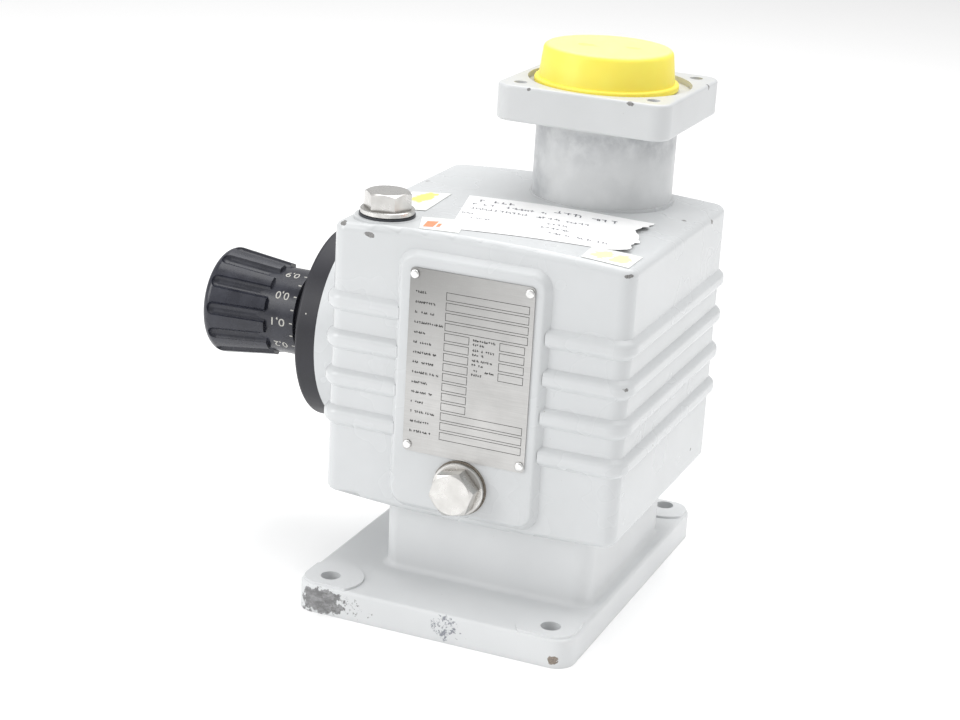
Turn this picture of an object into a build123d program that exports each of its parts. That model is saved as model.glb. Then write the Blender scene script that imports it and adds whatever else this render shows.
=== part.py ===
from build123d import *
import os
from math import atan, cos, degrees, pi, radians, sin

os.makedirs("parts", exist_ok=True)

# Drive unit of a diaphragm metering pump: a worm-gear drive with a variable eccentric.
# Millimetres. Z = 0 is the underside of the foot, and the origin is the centre of its four bolt holes.
# X runs along the gear shaft, with the adjusting knob at -X. The pump head bolts to the +Y face.

# ---- driving dimensions ----
FOOT_WIDTH = 192.0
FOOT_FRONT = -130.5
FOOT_BACK = 126.0
FOOT_THICK = 19.5
FOOT_CORNER = 13.0
FOOT_HOLE_X = 155.0
FOOT_HOLE_Y = 230.0
FOOT_HOLE_R = 6.5
FOOT_PAD_R = 22.0
FOOT_PAD_RISE = 1.5
PEDESTAL_X = (-57.0, 87.0)
PEDESTAL_Y = (-78.0, 72.0)
PEDESTAL_TOP = 66.0
PEDESTAL_WALL = 12.0

HOUSING_X = (-96.0, 107.0)
HOUSING_Y = (-94.0, 103.0)
HOUSING_Z = (71.0, 253.3)
CROWN = 4.0
HOUSING_CORNER = 9.0
HOUSING_EDGE_R = 5.0
HOUSING_WALL = 9.0
RIB_HEIGHTS = (124.8, 150.7, 176.6, 202.5)
RIB_PROUD = 3.8
RIB_LAND = 6.4
RIB_FLANK = 3.5
RIB_CROWN_R = 4.5
PANEL_X = (-48.0, 56.0)
PANEL_Z = (72.0, 245.5)
PANEL_PROUD = 5.0
PANEL_SLOPE = 38.7
PANEL_CORNER = 13.0
PANEL_EDGE_R = 2.5
RIB_GAP_X = (-46.0, 54.0)

SHAFT_Y = 2.5
SHAFT_Z = 156.0
WORM_X = 28.0
GEAR_MODULE = 2.0
WHEEL_TEETH = 50
WORM_STARTS = 4
WORM_PITCH_R = 13.0
CENTRE_DISTANCE = WORM_PITCH_R + GEAR_MODULE * WHEEL_TEETH / 2
WORM_Y = SHAFT_Y + CENTRE_DISTANCE
MAX_THROW = 7.5
REST_THROW = 2.5
RUNNING = 0.05
SLIDING = 0.03

FLANGE_SIDE = 120.0
FLANGE_TOP = 335.0
FLANGE_THICK = 24.0
FLANGE_PCD = 130.0
FLANGE_HOLE_R = 4.5
SPIGOT_R = 55.0
SPIGOT_DEPTH = 4.0
NECK_R = 47.6
NECK_BORE_R = 36.0
NECK_SPIGOT_R = 40.0
NECK_SPIGOT_DEPTH = 7.0
SEAT_Z = 257.7

BOSS_R = 66.5
BOSS_END = -120.7
BOSS_BORE_R = 53.5
COVER_FACE = -136.0
BRACKET_R = 57.5
BRACKET_FLANGE = 8.0
COVER_SCREW_R = 60.8

KNOB_OUTER = -223.6
KNOB_INNER = -177.3
KNOB_R_OUTER = 38.1
KNOB_R_INNER = 32.4
KNOB_FLUTES = 12
DIAL_R = 29.8
DIAL_END = -156.0
SLEEVE_END = -166.0

HEAD_X = -38.0
HEAD_FLANGE_R = 62.0
HEAD_FLANGE_Y = 113.0
HEAD_PCD = 100.0
HEAD_HOLE_R = 4.25
HEAD_HOLE_DEPTH = 16.0
GUIDE_R = 27.0
CROSSHEAD_R = 24.0
PIN_Y = 86.0

# ---- planes and axes that the turned pieces share: local x along the axis, local y outwards ----
SHAFT_PLANE = Plane(origin=(0, SHAFT_Y, SHAFT_Z), x_dir=(1, 0, 0), z_dir=(0, -1, 0))
SHAFT_AXIS = Axis((0, SHAFT_Y, SHAFT_Z), (1, 0, 0))
WORM_PLANE = Plane(origin=(WORM_X, WORM_Y, 0), x_dir=(0, 0, 1), z_dir=(0, 1, 0))
WORM_AXIS = Axis((WORM_X, WORM_Y, 0), (0, 0, 1))
HEAD_PLANE = Plane(origin=(HEAD_X, 0, SHAFT_Z), x_dir=(0, 1, 0), z_dir=(1, 0, 0))
HEAD_AXIS = Axis((HEAD_X, 0, SHAFT_Z), (0, 1, 0))


def turned(plane, axis, profile):
    """A piece turned about an axis from a half profile of (along the axis, radius) points."""
    with BuildPart() as piece:
        with BuildSketch(plane):
            with BuildLine():
                Polyline(*profile, close=True)
            make_face()
        revolve(axis=axis)
    return piece


def ring(plane, axis, start, end, inner, outer, edge=0.0):
    """A plain ring from start to end along its axis, with its four round edges broken."""
    with BuildPart() as piece:
        with BuildSketch(plane):
            with BuildLine():
                Polyline((start, inner), (end, inner), (end, outer), (start, outer), close=True)
            make_face()
        revolve(axis=axis)
        if edge:
            chamfer(piece.edges().filter_by(GeomType.CIRCLE), edge)
    return piece


SHIELD_INSET = 0.8
RACE_SHARE = 0.24


def ball_bearing(plane, axis, seat):
    """A shielded ball bearing on a seat of (start, width, bore, outer); its shields sit below the races."""
    start, width, bore, outer = seat
    bore, outer, end = bore + RUNNING, outer - SLIDING, start + width
    race = (outer - bore) * RACE_SHARE
    return turned(plane, axis, [
        (start, bore), (end, bore), (end, bore + race), (end - SHIELD_INSET, bore + race),
        (end - SHIELD_INSET, outer - race), (end, outer - race), (end, outer), (start, outer),
        (start, outer - race), (start + SHIELD_INSET, outer - race), (start + SHIELD_INSET, bore + race),
        (start, bore + race)])


def save(piece, name):
    piece.part.label = name
    export_step(piece.part, f"parts/{name}.step")


def block(x, y, z):
    """A solid box between two limits on each axis, for use inside a part."""
    with Locations(((x[0] + x[1]) / 2, (y[0] + y[1]) / 2, (z[0] + z[1]) / 2)):
        Box(x[1] - x[0], y[1] - y[0], z[1] - z[0])


# ---- foot: base plate with raised bolt pads and a hollow pedestal ----
foot_middle = (FOOT_FRONT + FOOT_BACK) / 2
pedestal_centre = (sum(PEDESTAL_X) / 2, sum(PEDESTAL_Y) / 2)
pedestal_size = (PEDESTAL_X[1] - PEDESTAL_X[0], PEDESTAL_Y[1] - PEDESTAL_Y[0])
FOOT_SCREW_X = 100.0
FOOT_SCREW_Y = 104.0
FOOT_SCREW_R = 5.0
PEDESTAL_ROOF = 14.0
PEDESTAL_CORNER = 10.0
PEDESTAL_ROOT_R = 4.0
POCKET_CORNER = 8.0
FOOT_EDGE_R = 2.5

with BuildPart() as foot:
    with BuildSketch():
        with Locations((0, foot_middle)):
            RectangleRounded(FOOT_WIDTH, FOOT_BACK - FOOT_FRONT, FOOT_CORNER)
    extrude(amount=FOOT_THICK)
    fillet(foot.edges().group_by(Axis.Z)[-1], FOOT_EDGE_R)
    with BuildSketch(Plane.XY.offset(FOOT_THICK - 1)):
        with GridLocations(FOOT_HOLE_X, FOOT_HOLE_Y, 2, 2):
            Circle(FOOT_PAD_R)
        with Locations((0, foot_middle)):
            RectangleRounded(FOOT_WIDTH - 3, FOOT_BACK - FOOT_FRONT - 3, FOOT_CORNER, mode=Mode.INTERSECT)
    extrude(amount=1 + FOOT_PAD_RISE)
    with BuildSketch(Plane.XY.offset(FOOT_THICK - 1)):
        with Locations(pedestal_centre):
            RectangleRounded(*pedestal_size, PEDESTAL_CORNER)
    extrude(amount=PEDESTAL_TOP - FOOT_THICK + 1, taper=-1)
    foot_top_edges = foot.edges().filter_by_position(Axis.Z, FOOT_THICK - 0.1, FOOT_THICK + 0.1)
    pedestal_root = foot_top_edges.filter_by_position(Axis.X, PEDESTAL_X[0] - 3, PEDESTAL_X[1] + 3)
    pedestal_root = pedestal_root.filter_by_position(Axis.Y, PEDESTAL_Y[0] - 3, PEDESTAL_Y[1] + 3)
    fillet(pedestal_root, PEDESTAL_ROOT_R)
    with BuildSketch():
        with Locations(pedestal_centre):
            RectangleRounded(pedestal_size[0] - 2 * PEDESTAL_WALL, pedestal_size[1] - 2 * PEDESTAL_WALL,
                             POCKET_CORNER)
    extrude(amount=PEDESTAL_TOP - PEDESTAL_ROOF, mode=Mode.SUBTRACT)
    with BuildSketch():
        with GridLocations(FOOT_HOLE_X, FOOT_HOLE_Y, 2, 2):
            Circle(FOOT_HOLE_R)
        with Locations(pedestal_centre):
            with GridLocations(FOOT_SCREW_X, FOOT_SCREW_Y, 2, 2):
                Circle(FOOT_SCREW_R + 0.5)
    extrude(amount=PEDESTAL_TOP + 5, mode=Mode.SUBTRACT)
save(foot, "foot")

# ---- gear housing: crowned casting with wrap-round ribs, a front panel, a cover boss and a head flange ----
housing_mid = ((HOUSING_X[0] + HOUSING_X[1]) / 2, (HOUSING_Y[0] + HOUSING_Y[1]) / 2)
housing_size = (HOUSING_X[1] - HOUSING_X[0], HOUSING_Y[1] - HOUSING_Y[0])
CAVITY_Z = (83.0, 246.0)
CAVITY_X = (HOUSING_X[0] + HOUSING_WALL + 1, HOUSING_X[1] - HOUSING_WALL)
CAVITY_Y = (HOUSING_Y[0] + HOUSING_WALL, HOUSING_Y[1] - HOUSING_WALL)
RIGHT_BEARING = (82.5, 15.0, 12.5, 26.0)
LEFT_BEARING = (-80.0, 16.0, 15.0, 31.0)
LOWER_BEARING = (97.0, 12.0, 8.5, 20.0)
UPPER_BEARING = (203.0, 14.0, 10.0, 23.5)
DRAIN_AT = (3.7, 94.4)
FILLER_AT = (-69.5, -68.3)
PLUG_R = 13.2
PLATE_CENTRE = (4.75, 174.0)
RIVET_SPACING = (77.5, 113.6)
RIVET_R = 1.25
CAVITY_CORNER = 8.0
FILLER_SEAT_Z = 256.3
FILLER_PAD_R = 21.0
COVER_TAP_R = 2.55
TAP_DEPTH = 16.0

with BuildPart() as rib:
    # a flat land between two sloping flanks that run a little way into the wall
    flank_run = RIB_FLANK * (RIB_PROUD + 1) / RIB_PROUD
    flank_slope = degrees(atan(RIB_PROUD / RIB_FLANK))
    for level, height, slope in ((0, RIB_LAND / 2, 0), (RIB_LAND / 2, flank_run, flank_slope)):
        with BuildSketch(Plane.XY.offset(level)):
            with Locations(housing_mid):
                RectangleRounded(housing_size[0] + 2 * RIB_PROUD, housing_size[1] + 2 * RIB_PROUD,
                                 HOUSING_CORNER + RIB_PROUD)
        extrude(amount=height, taper=slope)
    fillet(rib.edges().filter_by_position(Axis.Z, RIB_LAND / 2 - 0.01, RIB_LAND / 2 + 0.01), RIB_CROWN_R)
    mirror(about=Plane.XY)
    with BuildSketch(Plane.XY):
        with Locations(housing_mid):
            RectangleRounded(housing_size[0] - 10, housing_size[1] - 10, HOUSING_CORNER - 5)
    extrude(amount=RIB_LAND / 2 + flank_run, both=True, mode=Mode.SUBTRACT)
    # the ribs stop short of the front panel and of the head flange
    with Locations((sum(RIB_GAP_X) / 2, HOUSING_Y[0])):
        Box(RIB_GAP_X[1] - RIB_GAP_X[0], 30, 30, mode=Mode.SUBTRACT)
    with Locations((HEAD_X, HOUSING_Y[1])):
        Box(2 * HEAD_FLANGE_R + 12, 30, 30, mode=Mode.SUBTRACT)

with BuildPart() as cavity:
    block(CAVITY_X, CAVITY_Y, CAVITY_Z)
    fillet(cavity.edges().filter_by(Axis.Z), CAVITY_CORNER)

with BuildPart() as gear_housing:
    with BuildSketch(Plane.XZ.offset(-HOUSING_Y[1])):
        with BuildLine():
            Line((HOUSING_X[0], HOUSING_Z[0]), (HOUSING_X[0], HOUSING_Z[1]))
            ThreePointArc((HOUSING_X[0], HOUSING_Z[1]), (housing_mid[0], HOUSING_Z[1] + CROWN),
                          (HOUSING_X[1], HOUSING_Z[1]))
            Line((HOUSING_X[1], HOUSING_Z[1]), (HOUSING_X[1], HOUSING_Z[0]))
            ThreePointArc((HOUSING_X[1], HOUSING_Z[0]), (housing_mid[0], HOUSING_Z[0] - CROWN),
                          (HOUSING_X[0], HOUSING_Z[0]))
        make_face()
    extrude(amount=housing_size[1])
    fillet(gear_housing.edges().filter_by(Axis.Z), HOUSING_CORNER)
    mid_height = sum(HOUSING_Z) / 2
    fillet(gear_housing.edges().filter_by(lambda e: abs(e.center().Z - mid_height) > 80), HOUSING_EDGE_R)
    with Locations(*[(0, 0, z) for z in RIB_HEIGHTS]):
        add(rib.part)
    # raised panel that carries the rating plate and the drain plug
    with BuildSketch(Plane.XZ.offset(-HOUSING_Y[0])):
        with Locations((sum(PANEL_X) / 2, sum(PANEL_Z) / 2)):
            RectangleRounded(PANEL_X[1] - PANEL_X[0], PANEL_Z[1] - PANEL_Z[0], PANEL_CORNER)
    extrude(amount=PANEL_PROUD, taper=PANEL_SLOPE)
    fillet(gear_housing.faces().sort_by(Axis.Y)[0].edges(), PANEL_EDGE_R)
    # round boss for the adjuster cover, seat pads for the foot, the neck and the filler plug
    with BuildSketch(Plane.YZ.offset(BOSS_END)):
        with Locations((SHAFT_Y, SHAFT_Z)):
            Circle(BOSS_R)
    extrude(amount=HOUSING_X[0] - BOSS_END + 5)
    with BuildSketch(Plane.XY.offset(PEDESTAL_TOP)):
        with Locations(pedestal_centre):
            RectangleRounded(pedestal_size[0] + 1.6, pedestal_size[1] + 1.6, PEDESTAL_CORNER)
    extrude(amount=10)
    with BuildSketch(Plane.XY.offset(SEAT_Z - 8)):
        with Locations((WORM_X, WORM_Y)):
            Circle(NECK_R + 1.5)
    extrude(amount=8)
    with BuildSketch(Plane.XY.offset(FILLER_SEAT_Z)):
        with Locations(FILLER_AT):
            Circle(FILLER_PAD_R)
    extrude(amount=-6.3)
    # head flange on the back
    with BuildSketch(Plane.XZ.offset(-HEAD_FLANGE_Y)):
        with Locations((HEAD_X, SHAFT_Z)):
            Circle(HEAD_FLANGE_R)
    extrude(amount=HEAD_FLANGE_Y - HOUSING_Y[1] + 5)
    # cavity
    add(cavity.part, mode=Mode.SUBTRACT)
    # bearing bosses and the crosshead guide inside it
    with BuildSketch(Plane.YZ.offset(RIGHT_BEARING[0] - 0.5)):
        with Locations((SHAFT_Y, SHAFT_Z)):
            Circle(RIGHT_BEARING[3] + 8)
    extrude(amount=CAVITY_X[1] - RIGHT_BEARING[0] + 2)
    with BuildSketch(Plane.XY.offset(CAVITY_Z[0] - 2)):
        with Locations((WORM_X, WORM_Y)):
            Circle(30)
    extrude(amount=LOWER_BEARING[0] + LOWER_BEARING[1] - CAVITY_Z[0] + 3)
    with BuildSketch(Plane.XY.offset(UPPER_BEARING[0] - 3)):
        with Locations((WORM_X, WORM_Y)):
            Circle(UPPER_BEARING[3] + 7)
    extrude(amount=CAVITY_Z[1] - UPPER_BEARING[0] + 5)
    with BuildSketch(Plane.XZ.offset(-CAVITY_Y[1] - 2)):
        with Locations((HEAD_X, SHAFT_Z)):
            Circle(GUIDE_R + 7)
    extrude(amount=22)
    # bores
    with BuildSketch(Plane.YZ.offset(BOSS_END)):
        with Locations((SHAFT_Y, SHAFT_Z)):
            Circle(BOSS_BORE_R)
    extrude(amount=CAVITY_X[0] - BOSS_END + 1, mode=Mode.SUBTRACT)
    with BuildSketch(Plane.YZ.offset(BOSS_END)):
        with Locations((SHAFT_Y, SHAFT_Z)):
            Circle(BRACKET_R)
    extrude(amount=BRACKET_FLANGE, mode=Mode.SUBTRACT)
    with BuildSketch(Plane.YZ.offset(RIGHT_BEARING[0] - 1)):
        with Locations((SHAFT_Y, SHAFT_Z)):
            Circle(RIGHT_BEARING[3])
    extrude(amount=RIGHT_BEARING[1] + 1.1, mode=Mode.SUBTRACT)
    with BuildSketch(Plane.XY.offset(LOWER_BEARING[0] - 3)):
        with Locations((WORM_X, WORM_Y)):
            Circle(12)
    extrude(amount=40, mode=Mode.SUBTRACT)
    with BuildSketch(Plane.XY.offset(LOWER_BEARING[0])):
        with Locations((WORM_X, WORM_Y)):
            Circle(LOWER_BEARING[3])
    extrude(amount=30, mode=Mode.SUBTRACT)
    with BuildSketch(Plane.XY.offset(UPPER_BEARING[0] - 4)):
        with Locations((WORM_X, WORM_Y)):
            Circle(20.5)
    extrude(amount=6, mode=Mode.SUBTRACT)
    with BuildSketch(Plane.XY.offset(UPPER_BEARING[0])):
        with Locations((WORM_X, WORM_Y)):
            Circle(UPPER_BEARING[3])
    extrude(amount=SEAT_Z - UPPER_BEARING[0] + 1, mode=Mode.SUBTRACT)
    with BuildSketch(Plane.XY.offset(SEAT_Z - NECK_SPIGOT_DEPTH)):
        with Locations((WORM_X, WORM_Y)):
            Circle(NECK_SPIGOT_R)
    extrude(amount=NECK_SPIGOT_DEPTH + 3, mode=Mode.SUBTRACT)
    with BuildSketch(Plane.XZ.offset(-HEAD_FLANGE_Y)):
        with Locations((HEAD_X, SHAFT_Z)):
            Circle(GUIDE_R)
    extrude(amount=60, mode=Mode.SUBTRACT)
    # tapped holes: head studs, cover screws, foot screws, plugs and rivets
    with BuildSketch(Plane.XZ.offset(-HEAD_FLANGE_Y)):
        with Locations((HEAD_X, SHAFT_Z)):
            with PolarLocations(HEAD_PCD / 2, 4, start_angle=45):
                Circle(HEAD_HOLE_R)
    extrude(amount=HEAD_HOLE_DEPTH, mode=Mode.SUBTRACT)
    with BuildSketch(Plane.YZ.offset(BOSS_END)):
        with Locations((SHAFT_Y, SHAFT_Z)):
            with PolarLocations(COVER_SCREW_R, 4, start_angle=45):
                Circle(COVER_TAP_R)
    extrude(amount=TAP_DEPTH, mode=Mode.SUBTRACT)
    with BuildSketch(Plane.XY.offset(PEDESTAL_TOP)):
        with Locations(pedestal_centre):
            with GridLocations(FOOT_SCREW_X, FOOT_SCREW_Y, 2, 2):
                Circle(FOOT_SCREW_R)
    extrude(amount=12, mode=Mode.SUBTRACT)
    with BuildSketch(Plane.XY.offset(CAVITY_Z[1] - 2)):
        with Locations(FILLER_AT):
            Circle(PLUG_R)
    extrude(amount=20, mode=Mode.SUBTRACT)
    with BuildSketch(Plane.XZ.offset(-HOUSING_Y[0] + 10)):
        with Locations(DRAIN_AT):
            Circle(PLUG_R)
    extrude(amount=-30, mode=Mode.SUBTRACT)
    with BuildSketch(Plane.XZ.offset(-HOUSING_Y[0] + 10)):
        with Locations(PLATE_CENTRE):
            with GridLocations(*RIVET_SPACING, 2, 2):
                Circle(RIVET_R)
    extrude(amount=-16, mode=Mode.SUBTRACT)
save(gear_housing, "gear_housing")

# ---- neck and motor flange ----
FLANGE_CORNER = 12.0
FLANGE_EDGE_R = 2.0
NECK_ROOT_R = 3.0
with BuildPart() as motor_lantern:
    with BuildSketch(Plane.XY.offset(FLANGE_TOP - FLANGE_THICK)):
        with Locations((WORM_X, WORM_Y)):
            RectangleRounded(FLANGE_SIDE, FLANGE_SIDE, FLANGE_CORNER)
    extrude(amount=FLANGE_THICK)
    fillet(motor_lantern.edges().filter_by(Axis.Z, reverse=True), FLANGE_EDGE_R)
    with BuildSketch(Plane.XY.offset(SEAT_Z)):
        with Locations((WORM_X, WORM_Y)):
            Circle(NECK_R)
    extrude(amount=FLANGE_TOP - FLANGE_THICK - SEAT_Z + 2)
    fillet(motor_lantern.edges().filter_by(GeomType.CIRCLE).group_by(Axis.Z)[1], NECK_ROOT_R)
    with BuildSketch(Plane.XY.offset(SEAT_Z - NECK_SPIGOT_DEPTH)):
        with Locations((WORM_X, WORM_Y)):
            Circle(NECK_SPIGOT_R - RUNNING)
    extrude(amount=NECK_SPIGOT_DEPTH + 1)
    with BuildSketch(Plane.XY.offset(SEAT_Z - NECK_SPIGOT_DEPTH)):
        with Locations((WORM_X, WORM_Y)):
            Circle(NECK_BORE_R)
    extrude(amount=FLANGE_TOP, mode=Mode.SUBTRACT)
    with BuildSketch(Plane.XY.offset(FLANGE_TOP - SPIGOT_DEPTH)):
        with Locations((WORM_X, WORM_Y)):
            Circle(SPIGOT_R)
    extrude(amount=SPIGOT_DEPTH + 1, mode=Mode.SUBTRACT)
    with BuildSketch(Plane.XY.offset(FLANGE_TOP - FLANGE_THICK)):
        with Locations((WORM_X, WORM_Y)):
            with PolarLocations(FLANGE_PCD / 2, 4, start_angle=45):
                Circle(FLANGE_HOLE_R)
    extrude(amount=FLANGE_THICK + 1, mode=Mode.SUBTRACT)
save(motor_lantern, "motor_lantern")

# ---- protective cap, a thin tapered cup with a rolled rim, standing in the flange recess ----
CAP_SHIFT = -2.5
CAP_TOP = 357.7
CAP_R_BASE = 45.7
CAP_R_TOP = 43.2
CAP_WALL = 2.0
CAP_RIM_R = 48.5
CAP_RIM_HEIGHT = 5.0
CAP_EDGE_R = 4.0
CAP_RIM_EDGE_R = 1.6
CAP_PLANE = Plane(origin=(WORM_X + CAP_SHIFT, WORM_Y, 0), x_dir=(0, 0, 1), z_dir=(0, 1, 0))
CAP_AXIS = Axis((WORM_X + CAP_SHIFT, WORM_Y, 0), (0, 0, 1))
cap_foot = FLANGE_TOP - SPIGOT_DEPTH
rim_top = cap_foot + CAP_RIM_HEIGHT
with BuildPart() as protective_cap:
    with BuildSketch(CAP_PLANE):
        with BuildLine():
            Polyline((cap_foot, CAP_R_BASE - CAP_WALL), (cap_foot, CAP_RIM_R), (rim_top, CAP_RIM_R),
                     (rim_top, CAP_R_BASE), (CAP_TOP, CAP_R_TOP), (CAP_TOP, 0), (CAP_TOP - CAP_WALL, 0),
                     (CAP_TOP - CAP_WALL, CAP_R_TOP - CAP_WALL), close=True)
        make_face()
    revolve(axis=CAP_AXIS)
    rims = protective_cap.edges().filter_by(GeomType.CIRCLE)
    fillet(rims.filter_by(lambda e: abs(e.radius - CAP_R_TOP) < 0.1), CAP_EDGE_R)
    fillet(rims.filter_by(lambda e: abs(e.radius - CAP_RIM_R) < 0.1), CAP_RIM_EDGE_R)
save(protective_cap, "protective_cap")

# ---- filler and drain plugs with their sealing rings ----
PLUG_AF = 27.0
COLLAR_R = 17.5
COLLAR_THICK = 3.5
PLUG_HEX = 11.0
SEAL_THICK = 1.5
SEAL_R = 18.2
HEX_CHAMFER = 60
HEX_TURN = 12
COLLAR_EDGE = 0.5


def hexagon_head(seat, flats, height, turn=0.0):
    """A hexagon with its top corners chamfered at thirty degrees, standing on a seat plane."""
    with BuildPart() as head:
        with BuildSketch(seat):
            RegularPolygon(flats / 2, 6, major_radius=False, rotation=turn)
        extrude(amount=height)
        with BuildSketch(seat.offset(height)):
            Circle(flats / 2 - 0.4)
        extrude(amount=-height, taper=-HEX_CHAMFER, mode=Mode.INTERSECT)
    return head


def screw_plug(seat, shank):
    """A hexagon screw plug: shank down, sealing collar and hexagon up, on a seat plane."""
    with BuildPart() as piece:
        with BuildSketch(seat.offset(-shank)):
            Circle(PLUG_R - RUNNING)
        extrude(amount=shank + SEAL_THICK)
        with BuildSketch(seat.offset(SEAL_THICK)):
            Circle(COLLAR_R)
        extrude(amount=COLLAR_THICK)
        rims = piece.edges().filter_by(GeomType.CIRCLE)
        chamfer(rims.filter_by(lambda e: e.radius > PLUG_R), COLLAR_EDGE)
        add(hexagon_head(seat.offset(SEAL_THICK + COLLAR_THICK), PLUG_AF, PLUG_HEX, HEX_TURN).part)
    return piece


def seal_ring(seat):
    """A flat sealing ring that lies under a plug's collar."""
    with BuildPart() as piece:
        with BuildSketch(seat):
            Circle(SEAL_R)
            Circle(PLUG_R + 0.3, mode=Mode.SUBTRACT)
        extrude(amount=SEAL_THICK)
    return piece


FILLER_SEAT = Plane.XY.offset(FILLER_SEAT_Z).move(Location((*FILLER_AT, 0)))
drain_centre = (DRAIN_AT[0], HOUSING_Y[0] - PANEL_PROUD, DRAIN_AT[1])
DRAIN_SEAT = Plane(origin=drain_centre, x_dir=(1, 0, 0), z_dir=(0, -1, 0))
for seat, shank, name in ((FILLER_SEAT, 12, "filler"), (DRAIN_SEAT, 15, "drain")):
    save(screw_plug(seat, shank), f"{name}_plug")
    save(seal_ring(seat), f"{name}_seal")

# ---- rating plate and its rivets ----
PLATE_SIZE = (84.0, 122.0)
PLATE_THICK = 1.0
PLATE_CORNER = 3.0
RIVET_SHANK = 4.0
RIVET_HEAD_R = 3.0
RIVET_HEAD = 1.6
RIVET_DOME_R = 1.2
panel_face = HOUSING_Y[0] - PANEL_PROUD
with BuildPart() as nameplate:
    with BuildSketch(Plane.XZ.offset(-panel_face)):
        with Locations(PLATE_CENTRE):
            RectangleRounded(*PLATE_SIZE, PLATE_CORNER)
            with GridLocations(*RIVET_SPACING, 2, 2):
                Circle(RIVET_R, mode=Mode.SUBTRACT)
    extrude(amount=PLATE_THICK)
save(nameplate, "nameplate")

with BuildPart() as nameplate_rivets:
    with BuildSketch(Plane.XZ.offset(-panel_face - RIVET_SHANK)):
        with Locations(PLATE_CENTRE):
            with GridLocations(*RIVET_SPACING, 2, 2):
                Circle(RIVET_R - RUNNING)
    extrude(amount=RIVET_SHANK + PLATE_THICK + 0.2)
    with BuildSketch(Plane.XZ.offset(-panel_face + PLATE_THICK)):
        with Locations(PLATE_CENTRE):
            with GridLocations(*RIVET_SPACING, 2, 2):
                Circle(RIVET_HEAD_R)
    extrude(amount=RIVET_HEAD)
    fillet(nameplate_rivets.faces().filter_by(Plane.XZ).group_by(Axis.Y)[0].edges(), RIVET_DOME_R)
save(nameplate_rivets, "nameplate_rivets")

# ---- adjuster cover, its screws, and the bracket that carries the left shaft bearing ----
SLEEVE_R = 26.0
SLEEVE_SHANK_R = 20.0
SPINDLE_R = 8.0
SCREW_HEAD_R = 4.5
SCREW_SHANK_R = 2.5
SCREW_HEAD = 5.2
COUNTERBORE = 6.0
COVER_EDGE_R = 2.5
cover_places = [(COVER_SCREW_R * cos(radians(a)), COVER_SCREW_R * sin(radians(a))) for a in (45, 135, 225, 315)]
COVER_PLANE = Plane(origin=(COVER_FACE, SHAFT_Y, SHAFT_Z), x_dir=(0, 1, 0), z_dir=(1, 0, 0))

with BuildPart() as adjuster_cover:
    with BuildSketch(COVER_PLANE):
        Circle(BOSS_R)
        Circle(SLEEVE_SHANK_R, mode=Mode.SUBTRACT)
    extrude(amount=BOSS_END - COVER_FACE)
    rims = adjuster_cover.edges().filter_by(GeomType.CIRCLE)
    fillet(rims.filter_by(lambda e: e.radius > BOSS_R - 1).sort_by(Axis.X)[0], COVER_EDGE_R)
    with BuildSketch(COVER_PLANE):
        with Locations(*cover_places):
            Circle(SCREW_SHANK_R + 0.5)
    extrude(amount=BOSS_END - COVER_FACE, mode=Mode.SUBTRACT)
    with BuildSketch(COVER_PLANE):
        with Locations(*cover_places):
            Circle(SCREW_HEAD_R + 0.3)
    extrude(amount=COUNTERBORE, mode=Mode.SUBTRACT)
save(adjuster_cover, "adjuster_cover")

with BuildPart() as cover_screws:
    with BuildSketch(COVER_PLANE.offset(COUNTERBORE)):
        with Locations(*cover_places):
            Circle(SCREW_SHANK_R)
    extrude(amount=BOSS_END - COVER_FACE + 7)
    with BuildSketch(COVER_PLANE.offset(COUNTERBORE - SCREW_HEAD)):
        with Locations(*cover_places):
            Circle(SCREW_HEAD_R)
    extrude(amount=SCREW_HEAD)
    with BuildSketch(COVER_PLANE.offset(COUNTERBORE - SCREW_HEAD)):
        with Locations(*cover_places):
            RegularPolygon(2.5, 6)
    extrude(amount=3, mode=Mode.SUBTRACT)
save(cover_screws, "cover_screws")

scale_sleeve = turned(SHAFT_PLANE, SHAFT_AXIS, [
    (BOSS_END, SPINDLE_R + RUNNING), (BOSS_END, SLEEVE_SHANK_R - SLIDING), (COVER_FACE, SLEEVE_SHANK_R - SLIDING),
    (COVER_FACE, SLEEVE_R), (SLEEVE_END + 1, SLEEVE_R), (SLEEVE_END, SLEEVE_R - 1),
    (SLEEVE_END, SPINDLE_R + RUNNING)])
save(scale_sleeve, "scale_sleeve")

CIRCLIP_THICK = 2.0
BRACKET_LIP_R = 24.0
GROOVE = (11.0, 14.0)
GROOVE_DEPTH = 2.5
O_RING_R = 1.15
bracket_end = LEFT_BEARING[0] + LEFT_BEARING[1] + CIRCLIP_THICK
groove = (BOSS_END + GROOVE[0], BOSS_END + GROOVE[1])
bearing_bracket = turned(SHAFT_PLANE, SHAFT_AXIS, [
    (BOSS_END, BRACKET_LIP_R), (BOSS_END, BRACKET_R - SLIDING), (BOSS_END + BRACKET_FLANGE, BRACKET_R - SLIDING),
    (BOSS_END + BRACKET_FLANGE, BOSS_BORE_R - SLIDING), (groove[0], BOSS_BORE_R - SLIDING),
    (groove[0], BOSS_BORE_R - GROOVE_DEPTH), (groove[1], BOSS_BORE_R - GROOVE_DEPTH),
    (groove[1], BOSS_BORE_R - SLIDING), (groove[1] + 3, BOSS_BORE_R - SLIDING), (groove[1] + 3, 44),
    (bracket_end, 39), (bracket_end, LEFT_BEARING[3]), (LEFT_BEARING[0], LEFT_BEARING[3]),
    (LEFT_BEARING[0], BRACKET_LIP_R)])
save(bearing_bracket, "bearing_bracket")

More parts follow.
